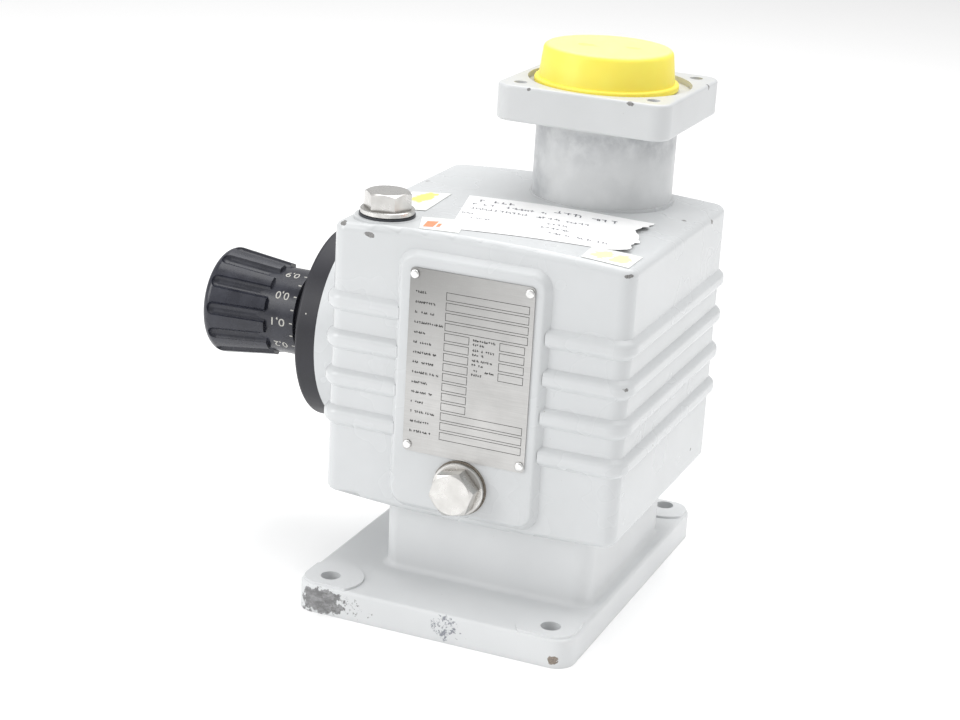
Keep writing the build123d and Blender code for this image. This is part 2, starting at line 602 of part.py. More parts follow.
with BuildPart() as bracket_o_ring:
    with BuildSketch(SHAFT_PLANE):
        with Locations((sum(groove) / 2, BOSS_BORE_R - 1.3)):
            Circle(O_RING_R)
    revolve(axis=SHAFT_AXIS)
save(bracket_o_ring, "bracket_o_ring")
save(ring(SHAFT_PLANE, SHAFT_AXIS, LEFT_BEARING[0] + LEFT_BEARING[1], bracket_end, 26, LEFT_BEARING[3]),
     "left_bearing_circlip")
save(ball_bearing(SHAFT_PLANE, SHAFT_AXIS, LEFT_BEARING), "left_shaft_bearing")
save(ball_bearing(SHAFT_PLANE, SHAFT_AXIS, RIGHT_BEARING), "right_shaft_bearing")
save(ball_bearing(WORM_PLANE, WORM_AXIS, LOWER_BEARING), "lower_worm_bearing")
save(ball_bearing(WORM_PLANE, WORM_AXIS, UPPER_BEARING), "upper_worm_bearing")

# ---- gear shaft with a square for the sliding eccentric, the worm wheel on it, and its key and circlip ----
SHAFT_BORE_R = 7.0
SQUARE = 22.0
SQUARE_X = (-50.0, -26.0)
WHEEL_SEAT_R = 18.0
WHEEL_HUB_X = (13.0, 43.0)
RIM_X = (18.0, 38.0)
KEY = (8.0, 7.0, 24.0)
KEY_FLOOR = WHEEL_SEAT_R - 4.0

with BuildPart() as gear_shaft:
    with BuildSketch(SHAFT_PLANE):
        with BuildLine():
            Polyline((-84, 0), (-84, 15), (-64, 15), (-64, 17), (SQUARE_X[0], 17), (SQUARE_X[0], 14.9),
                     (SQUARE_X[1], 14.9), (SQUARE_X[1], 21), (WHEEL_HUB_X[0], 21), (WHEEL_HUB_X[0], 18),
                     (WHEEL_HUB_X[1], 18), (WHEEL_HUB_X[1], 17), (45, 17), (45, 18), (48, 18), (48, 15),
                     (RIGHT_BEARING[0], 15), (RIGHT_BEARING[0], 12.5), (96.5, 12.5), (96.5, 0), close=True)
        make_face()
    revolve(axis=SHAFT_AXIS)
    with BuildSketch(Plane.YZ.offset(SQUARE_X[0])):
        with Locations((SHAFT_Y, SHAFT_Z)):
            Circle(22)
            Rectangle(SQUARE, SQUARE, mode=Mode.SUBTRACT)
    extrude(amount=SQUARE_X[1] - SQUARE_X[0], mode=Mode.SUBTRACT)
    with BuildSketch(Plane.YZ.offset(-84)):
        with Locations((SHAFT_Y, SHAFT_Z)):
            Circle(SHAFT_BORE_R + RUNNING)
    extrude(amount=65, mode=Mode.SUBTRACT)
    with Locations((WORM_X, SHAFT_Y, SHAFT_Z + KEY_FLOOR + KEY[1] / 2)):
        Box(KEY[2], KEY[0], KEY[1], mode=Mode.SUBTRACT)
save(gear_shaft, "gear_shaft")

with BuildPart() as wheel_key:
    with Locations((WORM_X, SHAFT_Y, SHAFT_Z + KEY_FLOOR + KEY[1] / 2)):
        Box(KEY[2], KEY[0], KEY[1])
save(wheel_key, "wheel_key")
save(ring(SHAFT_PLANE, SHAFT_AXIS, WHEEL_HUB_X[1], 45, 17, 21), "wheel_circlip")

RIM_SEAT_R = 38.0
with BuildPart() as worm_wheel_hub:
    with BuildSketch(SHAFT_PLANE):
        with BuildLine():
            Polyline((WHEEL_HUB_X[0], 18), (WHEEL_HUB_X[1], 18), (WHEEL_HUB_X[1], 25), (32, 27), (32, 33),
                     (RIM_X[1], 34), (RIM_X[1], RIM_SEAT_R), (RIM_X[0], RIM_SEAT_R), (RIM_X[0], 34), (24, 33),
                     (24, 27), (WHEEL_HUB_X[0], 25), close=True)
        make_face()
    revolve(axis=SHAFT_AXIS)
    with Locations((WORM_X, SHAFT_Y, SHAFT_Z + KEY_FLOOR + KEY[1] / 2)):
        Box(40, KEY[0], KEY[1] + 0.4, mode=Mode.SUBTRACT)
save(worm_wheel_hub, "worm_wheel_hub")

WHEEL_TIP_R = 52.2
WORM_TIP_R = 15.0
GASH_FLOOR_R = CENTRE_DISTANCE - WORM_TIP_R - 0.4
LEAD_TAN = WORM_STARTS * GEAR_MODULE / (2 * WORM_PITCH_R)
# a tooth space is a slanted trapezoid slot, wide enough to leave backlash on the worm's threads
SLOT_FLOOR = 2.0
SLOT_MOUTH = 4.9
with BuildPart() as tooth_space:
    slot_plane = Plane(origin=(WORM_X, WORM_Y - CENTRE_DISTANCE + GASH_FLOOR_R, SHAFT_Z),
                       x_dir=(0, 0, 1), z_dir=(1, 0, LEAD_TAN))
    with BuildSketch(slot_plane):
        with BuildLine():
            Polyline((-SLOT_FLOOR / 2, 0), (SLOT_FLOOR / 2, 0), (SLOT_MOUTH / 2, -5), (-SLOT_MOUTH / 2, -5),
                     close=True)
        make_face()
    extrude(amount=14, both=True)

with BuildPart() as worm_wheel_rim:
    with BuildSketch(SHAFT_PLANE):
        with BuildLine():
            Polyline((RIM_X[0], RIM_SEAT_R), (RIM_X[1], RIM_SEAT_R), (RIM_X[1], WHEEL_TIP_R - 1.5),
                     (RIM_X[1] - 1.5, WHEEL_TIP_R), (RIM_X[0] + 1.5, WHEEL_TIP_R),
                     (RIM_X[0], WHEEL_TIP_R - 1.5), close=True)
        make_face()
    revolve(axis=SHAFT_AXIS)
    add([tooth_space.part.rotate(SHAFT_AXIS, 360 * n / WHEEL_TEETH) for n in range(WHEEL_TEETH)],
        mode=Mode.SUBTRACT)
save(worm_wheel_rim, "worm_wheel_rim")

# ---- eccentric that slides across the square, and the running ring pressed on it ----
ECCENTRIC_R = 25.0
RUNNING_RING_R = 28.0
ECCENTRIC_X = (SQUARE_X[0] + 1, SQUARE_X[1] - 1)
with BuildPart() as eccentric:
    with BuildSketch(Plane.YZ.offset(ECCENTRIC_X[0])):
        with Locations((SHAFT_Y + REST_THROW, SHAFT_Z)):
            Circle(ECCENTRIC_R)
        with Locations((SHAFT_Y + REST_THROW - MAX_THROW / 2, SHAFT_Z)):
            Rectangle(SQUARE + MAX_THROW + 0.6, SQUARE + 2 * RUNNING, mode=Mode.SUBTRACT)
    extrude(amount=ECCENTRIC_X[1] - ECCENTRIC_X[0])
save(eccentric, "eccentric")

ROD_X = (ECCENTRIC_X[0] + 1, ECCENTRIC_X[1] - 1)
with BuildPart() as eccentric_ring:
    with BuildSketch(Plane.YZ.offset(ROD_X[0])):
        with Locations((SHAFT_Y + REST_THROW, SHAFT_Z)):
            Circle(RUNNING_RING_R)
            Circle(ECCENTRIC_R, mode=Mode.SUBTRACT)
    extrude(amount=ROD_X[1] - ROD_X[0])
save(eccentric_ring, "eccentric_ring")

# ---- connecting rod: its eye is open round the eccentric by the sum of the two throws ----
rest_pin_y = PIN_Y + REST_THROW
rod_big = (SHAFT_Y + REST_THROW, SHAFT_Z)
EYE_BORE_R = 46.6
EYE_R = 52.0
SMALL_EYE_R = 12.5
PIN_R = 7.0
ROD_BUSH_R = 9.0
with BuildPart() as connecting_rod:
    with BuildSketch(Plane.YZ.offset(ROD_X[0])):
        with Locations(rod_big):
            Circle(EYE_R)
        with Locations((rest_pin_y, SHAFT_Z)):
            Circle(SMALL_EYE_R)
        with BuildLine():
            Polyline((rod_big[0] + 40, SHAFT_Z - 13), (rest_pin_y, SHAFT_Z - 9), (rest_pin_y, SHAFT_Z + 9),
                     (rod_big[0] + 40, SHAFT_Z + 13), close=True)
        make_face()
        with Locations(rod_big):
            Circle(EYE_BORE_R, mode=Mode.SUBTRACT)
        with Locations((rest_pin_y, SHAFT_Z)):
            Circle(ROD_BUSH_R, mode=Mode.SUBTRACT)
    extrude(amount=ROD_X[1] - ROD_X[0])
save(connecting_rod, "connecting_rod")

PIN_PLANE = Plane(origin=(0, rest_pin_y, SHAFT_Z), x_dir=(1, 0, 0), z_dir=(0, -1, 0))
PIN_AXIS = Axis((0, rest_pin_y, SHAFT_Z), (1, 0, 0))
save(ring(PIN_PLANE, PIN_AXIS, ROD_X[0], ROD_X[1], PIN_R + RUNNING, ROD_BUSH_R), "small_end_bush")
save(turned(PIN_PLANE, PIN_AXIS, [
    (HEAD_X - 21, 0), (HEAD_X - 21, PIN_R), (HEAD_X + 21, PIN_R), (HEAD_X + 21, 0)]), "crosshead_pin")

# ---- crosshead, its guide bush and seal, and the rod end that the pump head takes hold of ----
CROSSHEAD_Y = (rest_pin_y - 28, rest_pin_y + 34)
CROSSHEAD_FLOOR = rest_pin_y + 13.5
PUSH_ROD_R = 8.0
with BuildPart() as crosshead:
    with BuildSketch(HEAD_PLANE):
        with BuildLine():
            Polyline((CROSSHEAD_Y[0], 18.6), (CROSSHEAD_Y[0], CROSSHEAD_R - 1), (CROSSHEAD_Y[0] + 1, CROSSHEAD_R),
                     (CROSSHEAD_Y[1] - 1, CROSSHEAD_R), (CROSSHEAD_Y[1], CROSSHEAD_R - 1), (CROSSHEAD_Y[1], 7),
                     (CROSSHEAD_Y[1] - 16, 7), (CROSSHEAD_Y[1] - 16, 0), (CROSSHEAD_FLOOR, 0),
                     (CROSSHEAD_FLOOR, 18.6), close=True)
        make_face()
    revolve(axis=HEAD_AXIS)
    with BuildSketch(Plane.YZ.offset(HEAD_X - 30)):
        with Locations((rest_pin_y, SHAFT_Z)):
            Circle(PIN_R)
    extrude(amount=60, mode=Mode.SUBTRACT)
save(crosshead, "crosshead")
save(turned(HEAD_PLANE, HEAD_AXIS, [
    (CROSSHEAD_Y[1] - 16, 0), (CROSSHEAD_Y[1] - 16, 7), (CROSSHEAD_Y[1] + 2, 7), (CROSSHEAD_Y[1] + 2, PUSH_ROD_R),
    (CROSSHEAD_Y[1] + 21, PUSH_ROD_R), (CROSSHEAD_Y[1] + 22.5, PUSH_ROD_R - 1.5),
    (CROSSHEAD_Y[1] + 22.5, 0)]), "push_rod_end")
save(ring(HEAD_PLANE, HEAD_AXIS, 75, 106, CROSSHEAD_R + RUNNING, GUIDE_R - SLIDING), "crosshead_bush")
save(ring(HEAD_PLANE, HEAD_AXIS, 106.5, 112.5, CROSSHEAD_R + RUNNING, GUIDE_R - SLIDING, 0.4), "crosshead_seal")

# ---- worm shaft, its seal and circlip, and the lower half of the motor coupling ----
COUPLING_R = 24.0
HUB_Z = (268.0, 298.0)
JAW_TOP = 309.0
WORM_ROOT_R = 10.3
WORM_LEAD = WORM_STARTS * GEAR_MODULE * pi
# the threads are thinner than the wheel's spaces: the backlash keeps the mesh free as it turns
THREAD_ROOT = 2.6
THREAD_TIP = 0.9
THREAD_PHASE = 10.0
thread_start = SHAFT_Z - WORM_LEAD + THREAD_PHASE / 360 * WORM_LEAD

with BuildPart() as worm_thread:
    with BuildLine() as thread_path:
        Helix(pitch=WORM_LEAD, height=2 * WORM_LEAD, radius=WORM_ROOT_R)
    with BuildSketch(Plane.XZ):
        with BuildLine():
            Polyline((WORM_ROOT_R - 0.8, -THREAD_ROOT / 2), (WORM_TIP_R, -THREAD_TIP / 2),
                     (WORM_TIP_R, THREAD_TIP / 2), (WORM_ROOT_R - 0.8, THREAD_ROOT / 2), close=True)
        make_face()
    sweep(path=thread_path.line, is_frenet=True)

worm_shaft = turned(WORM_PLANE, WORM_AXIS, [
    (95, 0), (95, 7.5), (96, 8.5), (109, 8.5), (109, WORM_ROOT_R), (184, WORM_ROOT_R), (190, 12), (203, 12),
    (203, 10), (262, 10), (262, 9.5), (HUB_Z[1], 9.5), (HUB_Z[1] + 1, 8.5), (HUB_Z[1] + 1, 0)])
with worm_shaft:
    for start in range(WORM_STARTS):
        turn = THREAD_PHASE + 360 * start / WORM_STARTS
        add(worm_thread.part.moved(Location((WORM_X, WORM_Y, thread_start), (0, 0, turn))))
save(worm_shaft, "worm_shaft")
save(ring(WORM_PLANE, WORM_AXIS, 217, 219, 18.5, UPPER_BEARING[3] - SLIDING), "worm_bearing_circlip")
save(ring(WORM_PLANE, WORM_AXIS, 240, 247, 10 + RUNNING, UPPER_BEARING[3] - SLIDING, 0.5), "worm_shaft_seal")

with BuildPart() as coupling_hub:
    with BuildSketch(Plane.XY.offset(HUB_Z[0])):
        with Locations((WORM_X, WORM_Y)):
            Circle(COUPLING_R)
            Circle(9.5, mode=Mode.SUBTRACT)
    extrude(amount=HUB_Z[1] - HUB_Z[0])
    chamfer(coupling_hub.edges().filter_by(GeomType.CIRCLE).filter_by(lambda e: e.radius > 20), 1)
    for turn in (30, 150, 270):
        with BuildSketch(Plane.XY.offset(HUB_Z[1] - 1).move(Location((WORM_X, WORM_Y, 0), (0, 0, turn)))):
            with BuildLine():
                arc_out = CenterArc((0, 0), COUPLING_R - 1.5, -18, 36)
                arc_in = CenterArc((0, 0), 12, -17, 34)
                Line(arc_out @ 0, arc_in @ 0)
                Line(arc_out @ 1, arc_in @ 1)
            make_face()
        extrude(amount=JAW_TOP - HUB_Z[1] + 1)
save(coupling_hub, "coupling_hub")

with BuildPart() as coupling_spider:
    with BuildSketch(Plane.XY.offset(HUB_Z[1] + 0.5).move(Location((WORM_X, WORM_Y, 0)))):
        Circle(10.5)
        with PolarLocations(12, 6):
            Rectangle(20, 4.6)
        Circle(COUPLING_R - 2.5, mode=Mode.INTERSECT)
        Circle(9.5, mode=Mode.SUBTRACT)
    extrude(amount=10)
save(coupling_spider, "coupling_spider")

# ---- shift rod inside the gear shaft, with the thrust bearing that the spindle turns in ----
ROD_HEAD_X = -94.0
THRUST_X = -99.0
NOSE_R = 5.0
save(turned(SHAFT_PLANE, SHAFT_AXIS, [
    (-30, 0), (-30, SHAFT_BORE_R - 1), (-31, SHAFT_BORE_R), (ROD_HEAD_X + 3, SHAFT_BORE_R), (ROD_HEAD_X + 3, 12),
    (ROD_HEAD_X, 12), (ROD_HEAD_X, 0)]), "shift_rod")
save(ring(SHAFT_PLANE, SHAFT_AXIS, THRUST_X, ROD_HEAD_X, NOSE_R + RUNNING, 12, 0.4), "thrust_bearing")

# ---- adjusting spindle, fluted knob with its dial ring, and the disc that closes the knob ----
SPINDLE_SHOULDER = THRUST_X - 0.1
KNOB_WEB_X = -188.0
KNOB_SEAT_R = 6.0
KNOB_RECESS = (-220.0, 14.0)
save(turned(SHAFT_PLANE, SHAFT_AXIS, [
    (ROD_HEAD_X - 0.2, 0), (ROD_HEAD_X - 0.2, NOSE_R), (SPINDLE_SHOULDER, NOSE_R), (SPINDLE_SHOULDER, SPINDLE_R),
    (KNOB_WEB_X, SPINDLE_R), (KNOB_WEB_X, KNOB_SEAT_R), (KNOB_RECESS[0], KNOB_SEAT_R), (KNOB_RECESS[0], 0)]),
     "adjusting_spindle")

FLUTE_R = 5.2
FLUTE_DEPTH = 3.4
FLUTE_START = -214.0
FLUTE_TURN = 24.0
KNOB_EDGE_R = 6.0
knob_slope = (KNOB_R_OUTER - KNOB_R_INNER) / (KNOB_OUTER - KNOB_INNER)
flute_lift = KNOB_R_OUTER + knob_slope * (FLUTE_START - KNOB_OUTER) + FLUTE_R - FLUTE_DEPTH
with BuildPart() as flute:
    flute_plane = Plane(origin=(FLUTE_START, SHAFT_Y, SHAFT_Z + flute_lift), x_dir=(0, 1, 0),
                        z_dir=(1, 0, knob_slope))
    with BuildSketch(flute_plane):
        Circle(FLUTE_R)
    extrude(amount=50)
    with Locations(flute_plane):
        Sphere(FLUTE_R)

with BuildPart() as adjusting_knob:
    with BuildSketch(SHAFT_PLANE):
        with BuildLine():
            Polyline((KNOB_WEB_X, KNOB_SEAT_R), (KNOB_WEB_X, DIAL_R), (KNOB_INNER, DIAL_R),
                     (KNOB_INNER, KNOB_R_INNER), (KNOB_OUTER, KNOB_R_OUTER), (KNOB_OUTER, KNOB_RECESS[1]),
                     KNOB_RECESS, (KNOB_RECESS[0], KNOB_SEAT_R), close=True)
        make_face()
    revolve(axis=SHAFT_AXIS)
    knob_rims = adjusting_knob.edges().filter_by(GeomType.CIRCLE)
    fillet(knob_rims.filter_by(lambda e: abs(e.radius - KNOB_R_OUTER) < 0.1), KNOB_EDGE_R)
    add([flute.part.rotate(SHAFT_AXIS, FLUTE_TURN + 360 * n / KNOB_FLUTES) for n in range(KNOB_FLUTES)],
        mode=Mode.SUBTRACT)
save(adjusting_knob, "adjusting_knob")
save(ring(SHAFT_PLANE, SHAFT_AXIS, KNOB_WEB_X, DIAL_END, SLEEVE_R + 0.6, DIAL_R), "dial_ring")
save(turned(SHAFT_PLANE, SHAFT_AXIS, [
    (KNOB_RECESS[0], 0), (KNOB_RECESS[0], KNOB_RECESS[1] - 0.1), (KNOB_OUTER - 0.2, KNOB_RECESS[1] - 0.1),
    (KNOB_OUTER - 1, KNOB_RECESS[1] - 2), (KNOB_OUTER - 1, 0)]), "knob_cap")

# ---- screws that hold the gear housing down on the foot ----
FOOT_SCREW_HEAD_R = 8.0
FOOT_SCREW_HEAD = 9.0
FOOT_SCREW_SOCKET_R = 4.6
with BuildPart() as foot_screws:
    with BuildSketch(Plane.XY.offset(PEDESTAL_TOP - PEDESTAL_ROOF)):
        with Locations(pedestal_centre):
            with GridLocations(FOOT_SCREW_X, FOOT_SCREW_Y, 2, 2):
                Circle(FOOT_SCREW_R - RUNNING)
    extrude(amount=PEDESTAL_ROOF + 11)
    with BuildSketch(Plane.XY.offset(PEDESTAL_TOP - PEDESTAL_ROOF - FOOT_SCREW_HEAD)):
        with Locations(pedestal_centre):
            with GridLocations(FOOT_SCREW_X, FOOT_SCREW_Y, 2, 2):
                Circle(FOOT_SCREW_HEAD_R)
                RegularPolygon(FOOT_SCREW_SOCKET_R, 6, mode=Mode.SUBTRACT)
    extrude(amount=FOOT_SCREW_HEAD)
save(foot_screws, "foot_screws")
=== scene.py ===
from functools import partial, reduce
from math import cos, radians, sin
from random import Random

import bmesh
import bpy
from mathutils import Matrix, Quaternion, Vector


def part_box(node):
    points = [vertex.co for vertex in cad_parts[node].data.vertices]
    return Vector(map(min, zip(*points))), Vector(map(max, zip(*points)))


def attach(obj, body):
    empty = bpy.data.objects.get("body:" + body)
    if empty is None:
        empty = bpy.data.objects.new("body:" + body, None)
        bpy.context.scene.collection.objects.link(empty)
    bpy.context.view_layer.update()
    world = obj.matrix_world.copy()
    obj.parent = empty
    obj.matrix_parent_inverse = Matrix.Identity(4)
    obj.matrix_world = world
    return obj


# Looks of the drive unit of a diaphragm metering pump: painted castings, a black stroke adjuster
# with its printed dial, a rating plate, paper labels and a yellow cap. Metres, in the frame of the
# solids: X runs from the adjuster to the far side, -Y is the front with the plate, Z is up.

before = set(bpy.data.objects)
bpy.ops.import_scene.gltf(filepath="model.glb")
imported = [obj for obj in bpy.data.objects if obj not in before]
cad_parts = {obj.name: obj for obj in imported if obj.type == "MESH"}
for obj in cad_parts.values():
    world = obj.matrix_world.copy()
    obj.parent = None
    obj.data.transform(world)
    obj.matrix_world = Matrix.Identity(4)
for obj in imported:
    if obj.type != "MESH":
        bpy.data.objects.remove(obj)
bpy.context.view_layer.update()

MM = 0.001
FILM = 0.06 * MM          # thickness of printed ink

# ---- where the pieces sit, read from the solids ----
plate_low, plate_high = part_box("nameplate")
dial_low, dial_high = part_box("dial_ring")
cover_low, cover_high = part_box("adjuster_cover")
foot_low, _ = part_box("foot")
lantern_low, lantern_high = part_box("motor_lantern")
_, cap_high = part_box("protective_cap")

DIAL_R = (dial_high.z - dial_low.z) / 2
COVER_R = (cover_high.z - cover_low.z) / 2
SHAFT_Y = (dial_high.y + dial_low.y) / 2
SHAFT_Z = (dial_high.z + dial_low.z) / 2


# ---------------------------------------------------------------- finishes

# sockets of the colour mixing node
MIX_FACTOR, MIX_FIRST, MIX_SECOND = 0, 6, 7
MIX_COLOUR = 2


class Finish:
    """A material whose colour, gloss and relief come from patterns in Object coordinates."""

    def __init__(self, name, roughness=0.5, metallic=0.0):
        self.material = bpy.data.materials.new(name)
        self.material.use_nodes = True
        self.tree = self.material.node_tree
        self.shader = self.tree.nodes["Principled BSDF"]
        self.place = self.node("ShaderNodeTexCoord").outputs["Object"]
        self.shader.inputs["Roughness"].default_value = roughness
        self.shader.inputs["Metallic"].default_value = metallic

    def node(self, kind, sockets=None, **settings):
        """One node with its settings; a socket gets a number, a colour or another node's output."""
        made = self.tree.nodes.new(kind)
        for name, value in settings.items():
            setattr(made, name, value)
        for name, value in (sockets or {}).items():
            if isinstance(value, bpy.types.NodeSocket):
                self.tree.links.new(value, made.inputs[name])
            else:
                made.inputs[name].default_value = value
        return made

    def feed(self, socket, value):
        """Drives a socket of the shader with another node's output."""
        self.tree.links.new(value, self.shader.inputs[socket])

    def fed(self, socket):
        """What the shader's socket is fed with."""
        return self.shader.inputs[socket].links[0].from_socket

    def set(self, socket, value):
        """Sets a socket of the shader to a constant."""
        self.shader.inputs[socket].default_value = value

    def stretched(self, scale):
        """The place with each axis scaled, so that a pattern runs long one way."""
        sockets = {"Vector": self.place, "Scale": scale}
        return self.node("ShaderNodeMapping", sockets).outputs["Vector"]

    def noise(self, size_mm, detail=3.0, roughness=0.5, place=None):
        """Cloudy noise from 0 to 1 whose lumps are about size_mm across."""
        sockets = {"Vector": place or self.place, "Scale": 1 / (size_mm * MM),
                   "Detail": detail, "Roughness": roughness}
        return self.node("ShaderNodeTexNoise", sockets).outputs["Fac"]

    def spread(self, value, low, high, out_low=0.0, out_high=1.0):
        """Stretches low..high of a value to out_low..out_high, and stops at both ends."""
        sockets = {"Value": value, "From Min": low, "From Max": high,
                   "To Min": out_low, "To Max": out_high}
        return self.node("ShaderNodeMapRange", sockets).outputs["Result"]

    def maths(self, operation, first, second):
        """The first value added to the second, multiplied by it, or the larger of the two."""
        sockets = {0: first, 1: second}
        return self.node("ShaderNodeMath", sockets, operation=operation).outputs["Value"]

    def times(self, first, *others):
        """Several values multiplied together."""
        return reduce(partial(self.maths, "MULTIPLY"), others, first)

    def mix(self, factor, first, second):
        """One colour turning into another as the factor goes from 0 to 1."""
        made = self.node("ShaderNodeMix", data_type="RGBA")
        for index, value in ((MIX_FACTOR, factor), (MIX_FIRST, first), (MIX_SECOND, second)):
            if isinstance(value, bpy.types.NodeSocket):
                self.tree.links.new(value, made.inputs[index])
            elif index == MIX_FACTOR:
                made.inputs[index].default_value = value
            else:
                made.inputs[index].default_value = (*value, 1.0)
        return made.outputs[MIX_COLOUR]

    def blot(self, centre, reach, ragged=0.5, grain_mm=1.5):
        """1 inside a ragged patch round a centre, with its reach along each axis, and 0 outside."""
        scale = [1 / r for r in reach]
        shift = [-c * s for c, s in zip(centre, scale)]
        sockets = {"Vector": self.place, "Scale": scale, "Location": shift}
        near = self.node("ShaderNodeMapping", sockets).outputs["Vector"]
        away = self.node("ShaderNodeVectorMath", {0: near}, operation="LENGTH")
        torn = self.spread(self.noise(grain_mm, 4), 0.3, 0.7, -ragged, ragged)
        return self.spread(self.maths("ADD", away.outputs["Value"], torn), 1.06, 0.94)

    def any_of(self, masks):
        """The strongest of several masks."""
        return reduce(partial(self.maths, "MAXIMUM"), masks)

    def relief(self, *layers):
        """Bump from (height, depth in millimetres) layers, laid one on another."""
        normal = None
        for height, depth_mm in layers:
            sockets = {"Height": height, "Strength": 1.0, "Distance": depth_mm * MM}
            if normal:
                sockets["Normal"] = normal
            normal = self.node("ShaderNodeBump", sockets).outputs["Normal"]
        self.feed("Normal", normal)

    def axis(self, letter):
        """The place along X, Y or Z, in metres."""
        return self.node("ShaderNodeSeparateXYZ", {"Vector": self.place}).outputs[letter]

    def crease(self, reach_mm):
        """1 in the open and less in corners and under ledges."""
        sockets = {"Distance": reach_mm * MM}
        return self.node("ShaderNodeAmbientOcclusion", sockets, samples=8).outputs["AO"]


def at(*mm):
    """Millimetres as metres."""
    return tuple(v * MM for v in mm)


BARE_CAST = (0.150, 0.148, 0.145)
RUSTY_CAST = (0.17, 0.14, 0.115)
# painted shade: the colour that darkens creases and ledges of the painted castings
CREASE_SHADE = (0.23, 0.22, 0.20)
PINHOLE = (0.30, 0.28, 0.25)
PAINT_IOR = 1.52

# where paint is knocked off each casting: centre and reach of every chip, in mm
HOUSING_CHIPS = (
    ((-69.4, -94.0, 248.9), (3.5, 6.0, 1.7)), ((103.2, -94.0, 249.8), (2.7, 6.0, 1.3)),
    ((-89.0, -91.0, 252.8), (2.2, 5.0, 1.3)), ((-89.0, 38.0, 253.0), (1.8, 1.8, 1.2)),
    ((106.5, 66.5, 249.0), (1.6, 2.2, 1.6)), ((95.0, 40.0, 253.5), (1.8, 2.0, 1.4)),
    ((109.5, 25.0, 185.7), (2.5, 1.3, 1.3)), ((107.0, 65.5, 86.5), (2.0, 1.4, 1.2)),
    ((109.0, -95.0, 178.5), (2.6, 2.6, 2.2)), ((-95.0, -60.0, 79.0), (1.6, 2.0, 1.6)))
FOOT_CHIPS = (
    ((85.5, -130.5, 5.5), (3.6, 2.6, 2.7)), ((-59.0, -79.0, 25.0), (3.0, 3.0, 4.5)))
LANTERN_CHIPS = (
    ((-6.8, 4.0, 333.8), (1.3, 4.0, 1.2)), ((62.8, 4.0, 333.8), (2.6, 4.0, 1.6)),
    ((88.0, 95.0, 334.0), (2.6, 1.3, 2.6)), ((-32.0, 5.5, 313.5), (1.6, 1.6, 1.4)))
CHIP_RAGGED = 0.28
CHIP_GRAIN_MM = 2.2
CHIP_SPARKLE = 1.9              # how much brighter the bare iron's grains are


def cast_paint(name, light, shade, peel_mm, peel_depth, cast_depth, roughness):
    """Light grey machine paint with orange peel, slow waves, pinholes and painted shade in the
    creases.
    Depths in mm."""
    paint = Finish(name, roughness)
    cloud = paint.spread(paint.noise(55, 3), 0.2, 0.8)
    fine = paint.spread(paint.noise(6, 5, 0.6), 0.25, 0.75)
    colour = paint.mix(cloud, shade, light)
    colour = paint.mix(paint.times(fine, 0.06), colour, shade)
    # painted shade: darker where ambient occlusion finds creases and ledges
    painted_crease_shade = paint.spread(paint.crease(7), 0.20, 0.70, 0.26, 0.0)
    colour = paint.mix(painted_crease_shade, colour, CREASE_SHADE)
    pinholes = paint.spread(paint.noise(2.3, 2, 0.5), 0.775, 0.80)
    colour = paint.mix(paint.times(pinholes, 0.55), colour, PINHOLE)
    paint.set("IOR", PAINT_IOR)
    paint.feed("Roughness", paint.spread(paint.noise(40, 2), 0.0, 1.0,
                                         roughness - 0.03, roughness + 0.03))
    paint.relief((paint.noise(34, 2), cast_depth), (paint.noise(peel_mm, 2, 0.4), peel_depth))
    return paint, colour


def chipped(paint, colour, chips, core=BARE_CAST):
    """Paint knocked off to bare iron at each chip of (centre, reach)."""
    bare = paint.any_of([paint.blot(at(*centre), at(*reach), CHIP_RAGGED, CHIP_GRAIN_MM)
                         for centre, reach in chips])
    speck = paint.spread(paint.noise(0.9, 4, 0.7), 0.35, 0.65)
    iron = paint.mix(speck, core, [c * CHIP_SPARKLE for c in core])
    paint.feed("Base Color", paint.mix(bare, colour, iron))


def housing_finish():
    """Satin paint of the crowned, ribbed casting."""
    paint, colour = cast_paint("satin_grey_paint", (0.640, 0.655, 0.665), (0.590, 0.605, 0.612),
                               peel_mm=2.2, peel_depth=0.006, cast_depth=0.12, roughness=0.27)
    chipped(paint, colour, HOUSING_CHIPS)
    return paint.material


def foot_finish():
    """Rougher, paler paint of the foot, worn to the iron in two patches on its front edge."""
    paint, colour = cast_paint("rough_foot_paint", (0.720, 0.732, 0.738), (0.655, 0.667, 0.675),
                               peel_mm=1.6, peel_depth=0.030, cast_depth=0.40, roughness=0.38)
    worn = paint.blot(at(-77, -130.5, 9.0), at(17, 6, 8.5), 0.38, 4.0)
    flecks = paint.spread(paint.noise(3.4, 5, 0.75, paint.stretched((0.5, 1, 1))), 0.42, 0.62)
    spread_out = paint.blot(at(-66, -130.5, 9), at(20, 6, 8), 0.8, 6.0)
    specks = paint.times(paint.spread(paint.noise(1.9, 3, 0.7), 0.58, 0.64), spread_out)
    mottled = paint.mix(flecks, (0.155, 0.155, 0.158), (0.30, 0.30, 0.305))
    colour = paint.mix(paint.times(worn, 0.96), colour, mottled)
    colour = paint.mix(specks, colour, BARE_CAST)
    speckled = paint.times(paint.spread(paint.noise(2.6, 5, 0.75), 0.50, 0.55),
                           paint.blot(at(11.5, -130.5, 11), at(8, 4, 8.5), 0.5, 3.0))
    colour = paint.mix(speckled, colour, (0.25, 0.26, 0.29))
    chipped(paint, colour, FOOT_CHIPS, RUSTY_CAST)
    return paint.material


# painted shade on the neck below the flange, in blotches, most of all under its ledge and on the
# left side
FLANGE_UNDERSIDE = lantern_high.z - 23.5 * MM
NECK_FADE_TOP = lantern_high.z - 26 * MM
NECK_FADE_END = lantern_high.z - 30 * MM
NECK_LEFT = (lantern_low.x + lantern_high.x) / 2 - 46 * MM
SHADE_REACH = 30 * MM
# the flange's four screw holes, with painted light inside that hides their shade
FLANGE_HOLES_X = (-17.96, 73.96)
FLANGE_HOLES_Y = (19.54, 111.46)
HOLE_REACH = (4.4, 4.4, 40)


